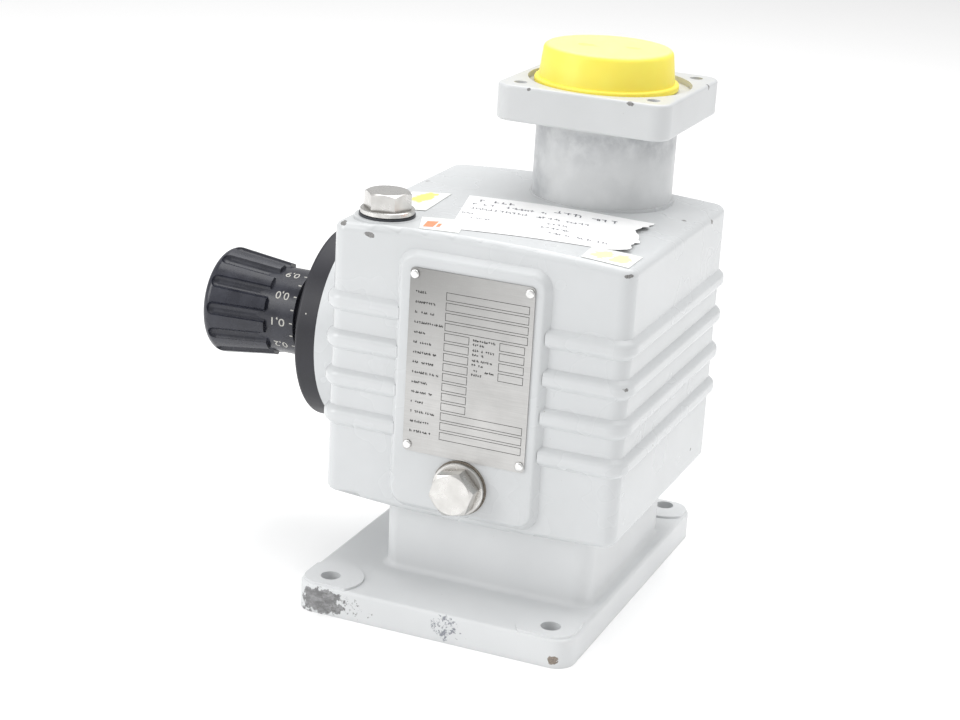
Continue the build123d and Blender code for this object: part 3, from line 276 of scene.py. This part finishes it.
def lantern_finish():
    """Painted lantern: smooth on the machined flange, rougher on the cast neck, with blotches of
    painted shade and painted light on the neck and painted light in the flange's holes.
    """
    paint, colour = cast_paint("lantern_paint", (0.640, 0.652, 0.660), (0.575, 0.587, 0.592),
                               peel_mm=1.9, peel_depth=0.022, cast_depth=0.25, roughness=0.34)
    neck = paint.spread(paint.axis("Z"), NECK_FADE_TOP, NECK_FADE_END)
    shade_blotches = paint.spread(paint.noise(13, 5, 0.66), 0.28, 0.56)
    ledge_shade = paint.spread(paint.axis("Z"), FLANGE_UNDERSIDE - SHADE_REACH,
                               FLANGE_UNDERSIDE - 4 * MM)
    left_side_shade = paint.spread(paint.axis("X"), NECK_LEFT, NECK_LEFT + SHADE_REACH, 1.0, 0.0)
    # painted shade: dark blotches on the neck under the flange's ledge and down its left side
    painted_neck_shade = paint.times(paint.any_of([ledge_shade, left_side_shade]), shade_blotches)
    colour = paint.mix(paint.times(neck, painted_neck_shade, 0.76), colour, (0.29, 0.30, 0.32))
    # painted light: paler blotches on the neck
    lit = paint.spread(paint.noise(22, 4, 0.5), 0.44, 0.62)
    colour = paint.mix(paint.times(neck, lit, 0.35), colour, (0.74, 0.75, 0.755))
    hole_painted_light = paint.any_of([paint.blot((x * MM, y * MM, lantern_high.z), at(*HOLE_REACH), 0.0)
                          for x in FLANGE_HOLES_X for y in FLANGE_HOLES_Y])
    # painted light: the holes' insides are made near white against their real shade
    colour = paint.mix(hole_painted_light, colour, (0.90, 0.90, 0.90))
    chipped(paint, colour, LANTERN_CHIPS)
    return paint.material


def brushed(name, colour, dark, roughness, grain_mm, along, contrast):
    """Metal with fine straight grain along one axis."""
    metal = Finish(name, roughness, 1.0)
    long_grain = [0.03 if axis == along else 1.0 for axis in "xyz"]
    grain = metal.noise(grain_mm, 4, 0.7, metal.stretched(long_grain))
    cloud = metal.spread(metal.noise(22, 3), 0.3, 0.7)
    tone = metal.maths("ADD", metal.times(metal.spread(grain, 0.3, 0.7), contrast),
                       metal.times(cloud, 1 - contrast))
    metal.feed("Base Color", metal.mix(tone, dark, colour))
    metal.feed("Roughness", metal.spread(grain, 0.3, 0.7, roughness - 0.06, roughness + 0.08))
    metal.relief((grain, 0.006))
    return metal


def turned(name, colour, dark, roughness, grain_mm, corner_tone=None):
    """Machined or blasted metal with fine random tool grain, and a darker tone in its corners,
    where ambient occlusion finds them, if one is given.
    """
    metal = Finish(name, roughness, 1.0)
    grain = metal.noise(grain_mm, 4, 0.6)
    cloud = metal.spread(metal.noise(9, 4), 0.3, 0.7)
    shade = metal.mix(metal.times(cloud, 0.6), colour, dark)
    if corner_tone:
        # darker in corners found by ambient occlusion
        shade = metal.mix(metal.spread(metal.crease(3), 0.3, 0.85, 0.7, 0.0), shade, corner_tone)
    metal.feed("Base Color", metal.mix(metal.times(grain, 0.35), shade, dark))
    metal.feed("Roughness", metal.spread(cloud, 0.0, 1.0, roughness - 0.07, roughness + 0.07))
    metal.relief((grain, 0.01))
    return metal.material


def plate_finish():
    """Satin steel of the rating plate, grained from side to side, with painted shade darkening it
    to the upper left.
    """
    plate = brushed("rating_plate_steel", (0.60, 0.595, 0.585), (0.44, 0.436, 0.428),
                    roughness=0.40, grain_mm=0.6, along="x", contrast=0.55)
    # painted shade: darker towards the plate's upper left
    across = plate.spread(plate.axis("X"), plate_low.x, plate_high.x, 1.0, 0.15)
    upward = plate.spread(plate.axis("Z"), plate_low.z + 40 * MM, plate_high.z)
    upper_left_shade = plate.mix(plate.times(across, upward), plate.fed("Base Color"), (0.27, 0.268, 0.262))
    plate.feed("Base Color", upper_left_shade)
    return plate.material


def moulded(name, dark, light, roughness, grain_mm, depth, dust):
    """Moulded black plastic with fine spark-eroded grain and thin dust."""
    plastic = Finish(name, roughness)
    grain = plastic.noise(grain_mm, 3, 0.5)
    haze = plastic.spread(plastic.noise(14, 4, 0.6), 0.3, 0.75)
    specks = plastic.spread(plastic.noise(1.1, 4, 0.75), 0.64, 0.72)
    plastic.feed("Base Color", plastic.mix(plastic.times(specks, dust),
                                           plastic.mix(haze, dark, light), (0.20, 0.20, 0.20)))
    plastic.feed("Roughness", plastic.spread(haze, 0.0, 1.0, roughness - 0.05, roughness + 0.07))
    plastic.relief((grain, depth))
    return plastic.material


def yellow_cap_finish():
    """Thin yellow polythene with a painted highlight on its crown and a faint painted glow, and two
    faint moulding marks on top.
    """
    cap = Finish("yellow_polythene", 0.42)
    cloud = cap.spread(cap.noise(30, 3), 0.3, 0.7)
    colour = cap.mix(cloud, (0.97, 0.78, 0.095), (1.0, 0.84, 0.13))
    # painted highlight: paler on the crown of the cap
    crown_highlight = cap.spread(cap.axis("Z"), cap_high.z - 1.4 * MM, cap_high.z - 0.2 * MM)
    colour = cap.mix(cap.times(crown_highlight, 0.6), colour, (0.98, 0.93, 0.42))
    gate_marks = cap.any_of([cap.blot(at(12.1, 58.8, 357.7), at(7.5, 4.0, 3.0), 0.3, 4.0),
                             cap.blot(at(41.9, 68.5, 357.7), at(6.5, 3.5, 3.0), 0.3, 4.0)])
    colour = cap.mix(cap.times(gate_marks, 0.55), colour, (0.72, 0.58, 0.12))
    cap.feed("Base Color", colour)
    # painted light: a faint yellow glow that brightens the whole cap
    cap.set("Emission Color", (1.0, 0.74, 0.08, 1.0))
    cap.set("Emission Strength", 0.05)
    cap.set("Subsurface Weight", 0.35)
    cap.set("Subsurface Radius", (0.9, 0.6, 0.12))
    cap.set("Subsurface Scale", 0.006)
    cap.relief((cap.noise(18, 2), 0.12), (cap.noise(1.2, 2), 0.006))
    return cap.material


def soft_rubber(name, dark, light, roughness):
    """Rubber or fibre with a dull mottled surface."""
    rubber = Finish(name, roughness)
    mottle = rubber.spread(rubber.noise(1.6, 5, 0.7), 0.3, 0.7)
    rubber.feed("Base Color", rubber.mix(mottle, dark, light))
    rubber.relief((rubber.noise(0.4, 4, 0.6), 0.02))
    return rubber.material


def bare_iron_finish():
    """Oiled cast iron inside the gearbox."""
    iron = Finish("oiled_cast_iron", 0.5, 0.85)
    sand = iron.spread(iron.noise(1.3, 5, 0.65), 0.3, 0.7)
    iron.feed("Base Color", iron.mix(sand, (0.14, 0.13, 0.12), (0.30, 0.29, 0.27)))
    iron.feed("Roughness", iron.spread(sand, 0, 1, 0.38, 0.60))
    iron.relief((sand, 0.10))
    return iron.material


# one finish for each material slot of the solids
finishes = {
    "housing_paint": housing_finish(),
    "foot_paint": foot_finish(),
    "lantern_paint": lantern_finish(),
    "stainless": turned("machined_stainless", (0.72, 0.71, 0.69), (0.50, 0.49, 0.47), 0.30,
                        grain_mm=0.4, corner_tone=(0.20, 0.17, 0.14)),
    "dark_seal": soft_rubber("dark_sealing_ring", (0.018, 0.020, 0.026),
                             (0.045, 0.047, 0.055), 0.45),
    "fibre_seal": soft_rubber("brown_fibre_ring", (0.13, 0.105, 0.080), (0.27, 0.24, 0.20), 0.55),
    "plate_metal": plate_finish(),
    "rivet_metal": turned("rivet_aluminium", (0.82, 0.82, 0.81), (0.62, 0.62, 0.61), 0.28,
                          grain_mm=0.3, corner_tone=(0.25, 0.23, 0.21)),
    "black_plastic": moulded("black_cover_plastic", (0.011, 0.011, 0.016), (0.018, 0.018, 0.025),
                             0.42, grain_mm=0.6, depth=0.010, dust=0.25),
    "knob_plastic": moulded("black_knob_plastic", (0.014, 0.015, 0.023), (0.030, 0.032, 0.045),
                            0.27, grain_mm=0.5, depth=0.008, dust=0.35),
    "yellow_plastic": yellow_cap_finish(),
    "screw_steel": turned("zinc_plated_steel", (0.60, 0.60, 0.58), (0.38, 0.38, 0.37), 0.38,
                          grain_mm=0.4, corner_tone=(0.12, 0.11, 0.10)),
    "ground_steel": turned("ground_shaft_steel", (0.66, 0.66, 0.67), (0.50, 0.50, 0.51), 0.22,
                           grain_mm=0.25),
    "bearing_steel": turned("bearing_steel", (0.70, 0.71, 0.72), (0.48, 0.49, 0.50), 0.20,
                            grain_mm=0.3, corner_tone=(0.10, 0.09, 0.08)),
    "spring_steel": turned("spring_steel", (0.30, 0.29, 0.28), (0.16, 0.155, 0.15), 0.35,
                           grain_mm=0.4),
    "bare_iron": bare_iron_finish(),
    "bronze": turned("gear_bronze", (0.72, 0.47, 0.20), (0.50, 0.30, 0.12), 0.30,
                     grain_mm=0.35, corner_tone=(0.22, 0.13, 0.06)),
    "coupling_metal": turned("sintered_coupling_iron", (0.34, 0.34, 0.34), (0.20, 0.20, 0.20),
                             0.48, grain_mm=0.6),
    "spider_rubber": soft_rubber("coupling_spider_rubber", (0.42, 0.055, 0.030),
                                 (0.55, 0.085, 0.045), 0.50),
    "black_rubber": soft_rubber("nitrile_rubber", (0.014, 0.014, 0.015),
                                (0.032, 0.032, 0.034), 0.50),
}

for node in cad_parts.values():
    for held in node.material_slots:
        held.material = finishes.get(held.name, held.material)


# ---------------------------------------------------------------- pieces that the solids leave out

def finished_piece(name, shape, body, material):
    """Makes an object of a bmesh, and hangs it on the body that carries it."""
    mesh = bpy.data.meshes.new(name)
    shape.to_mesh(mesh)
    shape.free()
    mesh.materials.append(material)
    piece = bpy.data.objects.new(name, mesh)
    bpy.context.scene.collection.objects.link(piece)
    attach(piece, body)


def brick(shape, middle, sizes):
    """A block with its sides along X, Y and Z."""
    bmesh.ops.create_cube(shape, size=1,
                          matrix=Matrix.Translation(middle) @ Matrix.Diagonal((*sizes, 1)))


def plain(name, colour, shade, roughness=0.5, grain_mm=1.0):
    """A print or paper finish: one colour, faintly mottled."""
    flat = Finish(name, roughness)
    mottle = flat.spread(flat.noise(grain_mm, 4, 0.7), 0.3, 0.7)
    flat.feed("Base Color", flat.mix(mottle, shade, colour))
    return flat


# thick paint that bridges the narrow groove between each left rib end and the front panel
RIB_HEIGHTS = (124.8, 150.7, 176.6, 202.5)
RIB_END_X = -45.55 * MM
RIB_CROWN_Y = -98.4 * MM
PAINT_BRIDGE = at(1.9, 3.4, 7.4)
BRIDGE_ROUNDING = 0.7 * MM


def paint_bridges():
    beads = bmesh.new()
    for z in RIB_HEIGHTS:
        brick(beads, Vector((RIB_END_X, RIB_CROWN_Y + PAINT_BRIDGE[1] / 2, z * MM)), PAINT_BRIDGE)
    bmesh.ops.bevel(beads, geom=beads.edges[:], offset=BRIDGE_ROUNDING, offset_type="OFFSET",
                    affect="EDGES", segments=3, profile=0.5, material=-1)
    finished_piece("rib_end_paint", beads, "housing", finishes["housing_paint"])


paint_bridges()

plate_ink = plain("grey_plate_ink", (0.035, 0.034, 0.033), (0.07, 0.068, 0.065))
dial_ink = plain("pale_dial_ink", (0.62, 0.61, 0.56), (0.45, 0.44, 0.41))

# the rating plate's print: rows of empty fields, with a heading of strokes for each.
# Lengths run right and down from the plate's upper left corner.
ROW_PITCH = 6.62 * MM
FIELD_HEIGHT = 5.3 * MM
FIELD_LINE = 0.36 * MM
FIRST_ROW = 12.7 * MM
FIELD_LEFT = 25.0 * MM
FIELD_RIGHT = 81.0 * MM
NARROW_RIGHT = 42.0 * MM
SIDE_LEFT = 62.5 * MM
SIDE_RIGHT = 79.5 * MM
HEADING_LEFT = 4.2 * MM
SIDE_HEADING_LEFT = 44.5 * MM
SIDE_HEADINGS = ((-1.3, 16), (1.6, 9))          # each line: its place down and its length, in mm
SMALL_PRINT = 1.75 * MM
SMALL_STROKE = 0.50 * MM
NARROW_ROWS = range(4, 12)
SIDE_ROWS = range(4, 8)
WIDE_ROWS = (0, 1, 2, 3, 12, 13, 14)
PLATE_SEED = 4
# one heading for each row, in mm
HEADING_LENGTHS = (8, 15, 14, 20, 8, 13, 18, 17, 19, 12, 16, 10, 17, 14, 18)


def plate_place(right, down):
    """A point of the plate's front face, measured from its upper left corner."""
    return Vector((plate_low.x + right, plate_low.y - FILM / 2, plate_high.z - down))


def bar(shape, left, top, length, height):
    """A thin printed bar on the plate."""
    brick(shape, plate_place(left + length / 2, top + height / 2), (length, FILM, height))


def field(shape, left, right, top):
    """An empty printed field: four thin lines."""
    width = right - left
    bar(shape, left, top, width, FIELD_LINE)
    bar(shape, left, top + FIELD_HEIGHT - FIELD_LINE, width, FIELD_LINE)
    inner = FIELD_HEIGHT - 2 * FIELD_LINE
    bar(shape, left, top + FIELD_LINE, FIELD_LINE, inner)
    bar(shape, right - FIELD_LINE, top + FIELD_LINE, FIELD_LINE, inner)


# shares of the print's height, and chances, for the strokes that stand for words
STROKE_PITCH = 0.86
STROKE_WIDTH = 0.62
GAP_CHANCE = 0.12
TAIL_CHANCE = 0.4
TAIL_TOP = 0.4


def strokes(put, left, top, length, height, stroke, draw):
    """A row of upright and lying strokes that looks like print from afar and says nothing."""
    pitch = height * STROKE_PITCH
    width = height * STROKE_WIDTH
    for count in range(int(length / pitch)):
        if draw.random() < GAP_CHANCE:
            continue
        start = left + count * pitch
        tall = height * draw.uniform(0.55, 1.0)
        put(start + draw.uniform(0, width - stroke), top + draw.uniform(0, height - tall),
            stroke, tall)
        put(start, top + draw.uniform(0.1, 0.9) * (height - stroke),
            width * draw.uniform(0.7, 1.1), stroke)
        if draw.random() < TAIL_CHANCE:
            put(start + width, top + height * TAIL_TOP, stroke, height * (1 - TAIL_TOP))


def plate_print():
    lines = bmesh.new()
    draw = Random(PLATE_SEED)
    put = partial(bar, lines)
    for row, length in enumerate(HEADING_LENGTHS):
        top = FIRST_ROW + row * ROW_PITCH
        heading_top = top + (FIELD_HEIGHT - SMALL_PRINT) / 2
        strokes(put, HEADING_LEFT, heading_top, length * MM, SMALL_PRINT, SMALL_STROKE, draw)
        if row in WIDE_ROWS:
            field(lines, FIELD_LEFT, FIELD_RIGHT, top)
        if row in NARROW_ROWS:
            field(lines, FIELD_LEFT, NARROW_RIGHT, top)
        if row in SIDE_ROWS:
            field(lines, SIDE_LEFT, SIDE_RIGHT, top)
            for down, side_length in SIDE_HEADINGS:
                strokes(put, SIDE_HEADING_LEFT, heading_top + down * MM, side_length * MM,
                        SMALL_PRINT, SMALL_STROKE, draw)
    finished_piece("plate_print", lines, "housing", plate_ink.material)


plate_print()

# the dial's numbers and graduation, printed round its rim
DIAL_STEPS = 10
DIAL_START = 37.0               # degrees up from the front, where the dial reads nought
NUMBER_CUTS = 6                 # strips that each number is cut into, so that it wraps smoothly
NUMBER_HEIGHT = 6.2 * MM
NUMBER_WIDTH = 10.0 * MM
NUMBER_MIDDLE = dial_high.x - 11.2 * MM
TICK_LENGTH = 2.2 * MM
TICK_WIDTH = 0.75 * MM
TICK_MIDDLE = dial_high.x - 1.5 * MM


def round_the_shaft(shape, radius, angle, x_middle):
    """Wraps a flat bmesh onto a drum about the gear shaft: its x reads to -X, its y downwards."""
    for vertex in shape.verts:
        turn = radians(angle) - vertex.co.y / radius
        reach = radius + vertex.co.z
        vertex.co = Vector((x_middle - vertex.co.x,
                            SHAFT_Y - reach * cos(turn), SHAFT_Z + reach * sin(turn)))
    bmesh.ops.recalc_face_normals(shape, faces=shape.faces)


def number_shape(text):
    """Flat figures as a bmesh centred on the origin, cut across often enough to wrap smoothly."""
    curve = bpy.data.curves.new("figures", "FONT")
    curve.body = text
    curve.align_x = "CENTER"
    holder = bpy.data.objects.new("figures", curve)
    bpy.context.scene.collection.objects.link(holder)
    bpy.context.view_layer.update()
    drawn = holder.evaluated_get(bpy.context.evaluated_depsgraph_get())
    mesh = bpy.data.meshes.new_from_object(drawn)
    bpy.data.objects.remove(holder)
    bpy.data.curves.remove(curve)
    shape = bmesh.new()
    shape.from_mesh(mesh)
    bpy.data.meshes.remove(mesh)
    bmesh.ops.remove_doubles(shape, verts=shape.verts, dist=1e-5)
    low = Vector([min(v.co[i] for v in shape.verts) for i in range(3)])
    high = Vector([max(v.co[i] for v in shape.verts) for i in range(3)])
    bmesh.ops.translate(shape, verts=shape.verts, vec=-(low + high) / 2)
    size = high - low
    bmesh.ops.scale(shape, verts=shape.verts,
                    vec=(NUMBER_WIDTH / size.x, NUMBER_HEIGHT / size.y, 1))
    for cut in range(1, NUMBER_CUTS):
        level = NUMBER_HEIGHT * (cut / NUMBER_CUTS - 0.5)
        bmesh.ops.bisect_plane(shape, geom=shape.verts[:] + shape.edges[:] + shape.faces[:],
                               plane_co=(0, level, 0), plane_no=(0, 1, 0))
    return shape


def thickened(shape):
    """Gives a flat print its film, so that it is a closed shape standing on the surface."""
    grown = bmesh.ops.extrude_face_region(shape, geom=shape.faces[:])
    raised = [v for v in grown["geom"] if isinstance(v, bmesh.types.BMVert)]
    bmesh.ops.translate(shape, verts=raised, vec=(0, 0, FILM))
    bmesh.ops.recalc_face_normals(shape, faces=shape.faces)


def dial_numbers():
    for step in range(DIAL_STEPS):
        figures = number_shape("0,%d" % step)
        thickened(figures)
        round_the_shaft(figures, DIAL_R, DIAL_START - step * 360 / DIAL_STEPS, NUMBER_MIDDLE)
        finished_piece("dial_number_%d" % step, figures, "knob",
                       dial_ink.material)


def dial_graduation():
    ticks = bmesh.new()
    for step in range(2 * DIAL_STEPS):
        tick = bmesh.new()
        brick(tick, (0, 0, 0), (TICK_LENGTH, TICK_WIDTH, 2 * FILM))
        round_the_shaft(tick, DIAL_R, DIAL_START - step * 180 / DIAL_STEPS, TICK_MIDDLE)
        loose = bpy.data.meshes.new("tick")
        tick.to_mesh(loose)
        tick.free()
        ticks.from_mesh(loose)
        bpy.data.meshes.remove(loose)
    finished_piece("dial_graduation", ticks, "knob", dial_ink.material)


dial_numbers()
dial_graduation()

# the fixed index dot on the cover's rim
INDEX_ANGLE = 18.9
INDEX_R = 0.6 * MM
INDEX_MIDDLE = cover_high.x - 8.5 * MM


def index_dot():
    dot = bmesh.new()
    bmesh.ops.create_cone(dot, cap_ends=True, segments=16, radius1=INDEX_R, radius2=INDEX_R * 0.8,
                          depth=2 * FILM)
    round_the_shaft(dot, COVER_R, INDEX_ANGLE, INDEX_MIDDLE)
    finished_piece("index_dot", dot, "housing", dial_ink.material)


index_dot()

# paper and film labels on the crowned top of the housing
TOP_CENTRE_X = 5.5 * MM
TOP_CROWN_R = 1289.9 * MM
TOP_Z = 257.3 * MM
PAPER = 0.12 * MM
TORN_FROM = 0.86                # share of a label's width where a torn, curled edge begins


def top_height(x):
    """The height of the crowned top at x."""
    return TOP_Z - (x - TOP_CENTRE_X) ** 2 / (2 * TOP_CROWN_R)


def flat_points(corners):
    """Corners in mm as points without height."""
    return [Vector((x * MM, y * MM, 0)) for x, y in corners]


def top_label(name, stock, corners, lift=0.3, steps=24, torn=0.0, curl=0.0):
    """A thin label stuck to the crowned top. Corners run round it from the lower left, and its
    right side may be torn and curled. Corners, lift, torn and curl are in mm."""
    label = bmesh.new()
    bmesh.ops.create_grid(label, x_segments=steps, y_segments=steps, size=0.5)
    lower_left, upper_left, upper_right, lower_right = flat_points(corners)
    for vertex in label.verts:
        across, along = vertex.co.x + 0.5, vertex.co.y + 0.5
        lower, upper = lower_left.lerp(lower_right, across), upper_left.lerp(upper_right, across)
        place = lower.lerp(upper, along)
        bite = sin(along * 7.3) * 0.5 + sin(along * 17.1 + 1.0) * 0.3 + sin(along * 41.0) * 0.2
        edge = max(0.0, across - TORN_FROM) / (1 - TORN_FROM)
        place.x += torn * MM * bite * edge
        rise = curl * MM * edge * edge * (0.55 + 0.45 * sin(along * 11.0 + 0.6))
        vertex.co = (place.x, place.y, top_height(place.x) + lift * MM + rise)
    bmesh.ops.recalc_face_normals(label, faces=label.faces)
    bmesh.ops.solidify(label, geom=label.faces[:], thickness=-PAPER)
    finished_piece(name, label, "housing", stock.material)


def label_film():
    """Pale film, with a yellow patch on the left label and two green dabs on the right one."""
    film = plain("pale_label_film", (0.90, 0.91, 0.88), (0.80, 0.81, 0.79), 0.45, 4.0)
    yellow_patch = film.blot(at(-69.5, -12.0, 255.0), at(7.0, 14.0, 8.0), 0.35, 6.0)
    green_dabs = film.any_of([film.blot(at(79.5, -74.0, 254.8), at(6.5, 8.5, 6.0), 0.5, 5.0),
                              film.blot(at(92.0, -76.0, 254.4), at(6.5, 8.0, 6.0), 0.5, 5.0)])
    colour = film.mix(film.times(yellow_patch, 0.9), film.fed("Base Color"), (0.93, 0.86, 0.13))
    colour = film.mix(film.times(green_dabs, 0.60), colour, (0.74, 0.86, 0.20))
    film.feed("Base Color", colour)
    return film


paper_stock = plain("white_label_paper", (0.94, 0.94, 0.94), (0.90, 0.90, 0.90), 0.55, 3.0)
label_ink = plain("dark_label_ink", (0.09, 0.09, 0.11), (0.14, 0.14, 0.17))
film_stock = label_film()
orange_ink = plain("orange_inspection_ink", (0.86, 0.32, 0.16), (0.80, 0.25, 0.12), grain_mm=3.0)

SHIPPING_CORNERS = [(-21.5, -79), (-45, 8), (82, 15), (89, -60)]
PRINT_LIFT = 0.47 * MM
# each row of print on the shipping label: start and end along it and place down it as shares,
# then height and stroke in mm
SHIPPING_ROWS = (
    (0.07, 0.28, 0.09, 6.0, 1.0), (0.01, 0.47, 0.21, 4.6, 0.75), (0.48, 0.86, 0.12, 7.5, 1.0),
    (0.04, 0.70, 0.34, 4.8, 0.75), (0.01, 0.09, 0.50, 3.6, 0.6), (0.07, 0.20, 0.62, 3.4, 0.6),
    (0.44, 0.58, 0.48, 4.0, 0.7), (0.44, 0.62, 0.59, 4.0, 0.7), (0.46, 0.84, 0.71, 4.2, 0.7))
SHIPPING_SEED = 9

top_label("shipping_label", paper_stock, SHIPPING_CORNERS, torn=5.0, curl=3.0)
top_label("left_film_label", film_stock, [(-80, -49), (-84, 2), (-57.5, 7), (-53.5, -44)])
top_label("right_film_label", film_stock, [(70, -88), (68, -60), (101, -61), (101.3, -89)],
          lift=0.25)
top_label("inspection_label", film_stock, [(-38, -88), (-49, -60), (-20, -56), (-12, -86)],
          lift=0.15, steps=8)
top_label("orange_mark", orange_ink, [(-38, -83), (-41, -69), (-34, -67), (-32, -81)],
          lift=0.32, steps=6)
top_label("orange_stroke", orange_ink, [(-30.5, -80), (-32, -72), (-30, -71), (-28.5, -79)],
          lift=0.32, steps=4)


def shipping_bar(shape, right, down, length, height):
    """A thin printed bar on the shipping label, measured along its edges from the upper left."""
    lower_left, upper_left, upper_right = flat_points(SHIPPING_CORNERS[:3])
    rightwards = (upper_right - upper_left).normalized()
    downwards = (lower_left - upper_left).normalized()
    middle = upper_left + rightwards * (right + length / 2) + downwards * (down + height / 2)
    middle.z = top_height(middle.x) + PRINT_LIFT
    sides = Matrix((rightwards * length, downwards * height, Vector((0, 0, FILM)))).transposed()
    bmesh.ops.create_cube(shape, size=1, matrix=Matrix.Translation(middle) @ sides.to_4x4())


def shipping_print():
    lines = bmesh.new()
    draw = Random(SHIPPING_SEED)
    lower_left, upper_left, upper_right = [Vector(corner) for corner in SHIPPING_CORNERS[:3]]
    label_width = (upper_right - upper_left).length * MM
    label_depth = (lower_left - upper_left).length * MM
    for start, end, down, height, stroke in SHIPPING_ROWS:
        strokes(partial(shipping_bar, lines), start * label_width, down * label_depth,
                (end - start) * label_width, height * MM, stroke * MM, draw)
    bmesh.ops.recalc_face_normals(lines, faces=lines.faces)
    finished_piece("shipping_print", lines, "housing", label_ink.material)


shipping_print()


# ---------------------------------------------------------------- floor, light and camera

WHITE = (1.0, 1.0, 1.0, 1.0)
FLOOR_R = 9.0
FLOOR_GAP = 0.05 * MM
FLOOR_GLOW = 0.13
WORLD_STRENGTH = 0.62

floor_shape = bmesh.new()
bmesh.ops.create_circle(floor_shape, cap_ends=True, segments=96, radius=FLOOR_R)
bmesh.ops.translate(floor_shape, verts=floor_shape.verts, vec=(0, 0, foot_low.z - FLOOR_GAP))
floor_mesh = bpy.data.meshes.new("floor")
floor_shape.to_mesh(floor_mesh)
floor_shape.free()
floor = bpy.data.objects.new("floor", floor_mesh)
bpy.context.scene.collection.objects.link(floor)
floor_paint = Finish("white_floor", 0.75)
floor_paint.feed("Base Color", floor_paint.mix(floor_paint.noise(400, 3),
                                               (0.90, 0.90, 0.90), (0.93, 0.93, 0.93)))
floor_paint.set("Emission Color", WHITE)
floor_paint.set("Emission Strength", FLOOR_GLOW)
floor_mesh.materials.append(floor_paint.material)

world = bpy.data.worlds.new("studio")
world.use_nodes = True
background = world.node_tree.nodes["Background"]
background.inputs["Color"].default_value = WHITE
background.inputs["Strength"].default_value = WORLD_STRENGTH
bpy.context.scene.world = world
bpy.context.scene.view_settings.view_transform = "Standard"

LIGHT_AIM = Vector((0.0, 0.0, 0.17))


def softbox(name, place, width, height, power):
    """A large rectangular light aimed at the middle of the part. Power in watts."""
    lamp = bpy.data.lights.new(name, "AREA")
    lamp.shape = "RECTANGLE"
    lamp.size = width
    lamp.size_y = height
    lamp.energy = power
    box = bpy.data.objects.new(name, lamp)
    box.location = place
    box.rotation_mode = "QUATERNION"
    box.rotation_quaternion = (LIGHT_AIM - Vector(place)).to_track_quat("-Z", "Y")
    bpy.context.scene.collection.objects.link(box)


softbox("overhead_softbox", (0.1, 0.5, 2.2), width=2.6, height=2.2, power=47)
softbox("right_softbox", (2.1, -0.6, 1.1), width=1.4, height=1.6, power=1.5)
softbox("left_softbox", (-1.3, -1.25, 0.95), width=0.8, height=1.2, power=13.5)

# angles in degrees: azimuth from the front towards +X, elevation and roll
CAMERA_PLACE = (0.4815, -1.2687, 0.6048)
CAMERA_AZIMUTH = 20.43
CAMERA_ELEVATION = 18.68
CAMERA_ROLL = 3.84
CAMERA_SENSOR_MM = 36
CAMERA_LENS_MM = 79.82
CAMERA_SHIFT = (-0.0518, 0.0086)

camera = bpy.data.cameras.new("camera")
camera.sensor_width = CAMERA_SENSOR_MM
camera.lens = CAMERA_LENS_MM
camera.shift_x, camera.shift_y = CAMERA_SHIFT
camera_holder = bpy.data.objects.new("camera", camera)
swing, rise = radians(CAMERA_AZIMUTH), radians(CAMERA_ELEVATION)
look = Vector((-sin(swing) * cos(rise), cos(swing) * cos(rise), -sin(rise)))
level = look.to_track_quat("-Z", "Y")
camera_holder.location = CAMERA_PLACE
camera_holder.rotation_mode = "QUATERNION"
camera_holder.rotation_quaternion = level @ Quaternion((0, 0, 1), radians(CAMERA_ROLL))
bpy.context.scene.collection.objects.link(camera_holder)
bpy.context.scene.camera = camera_holder

bpy.context.view_layer.update()
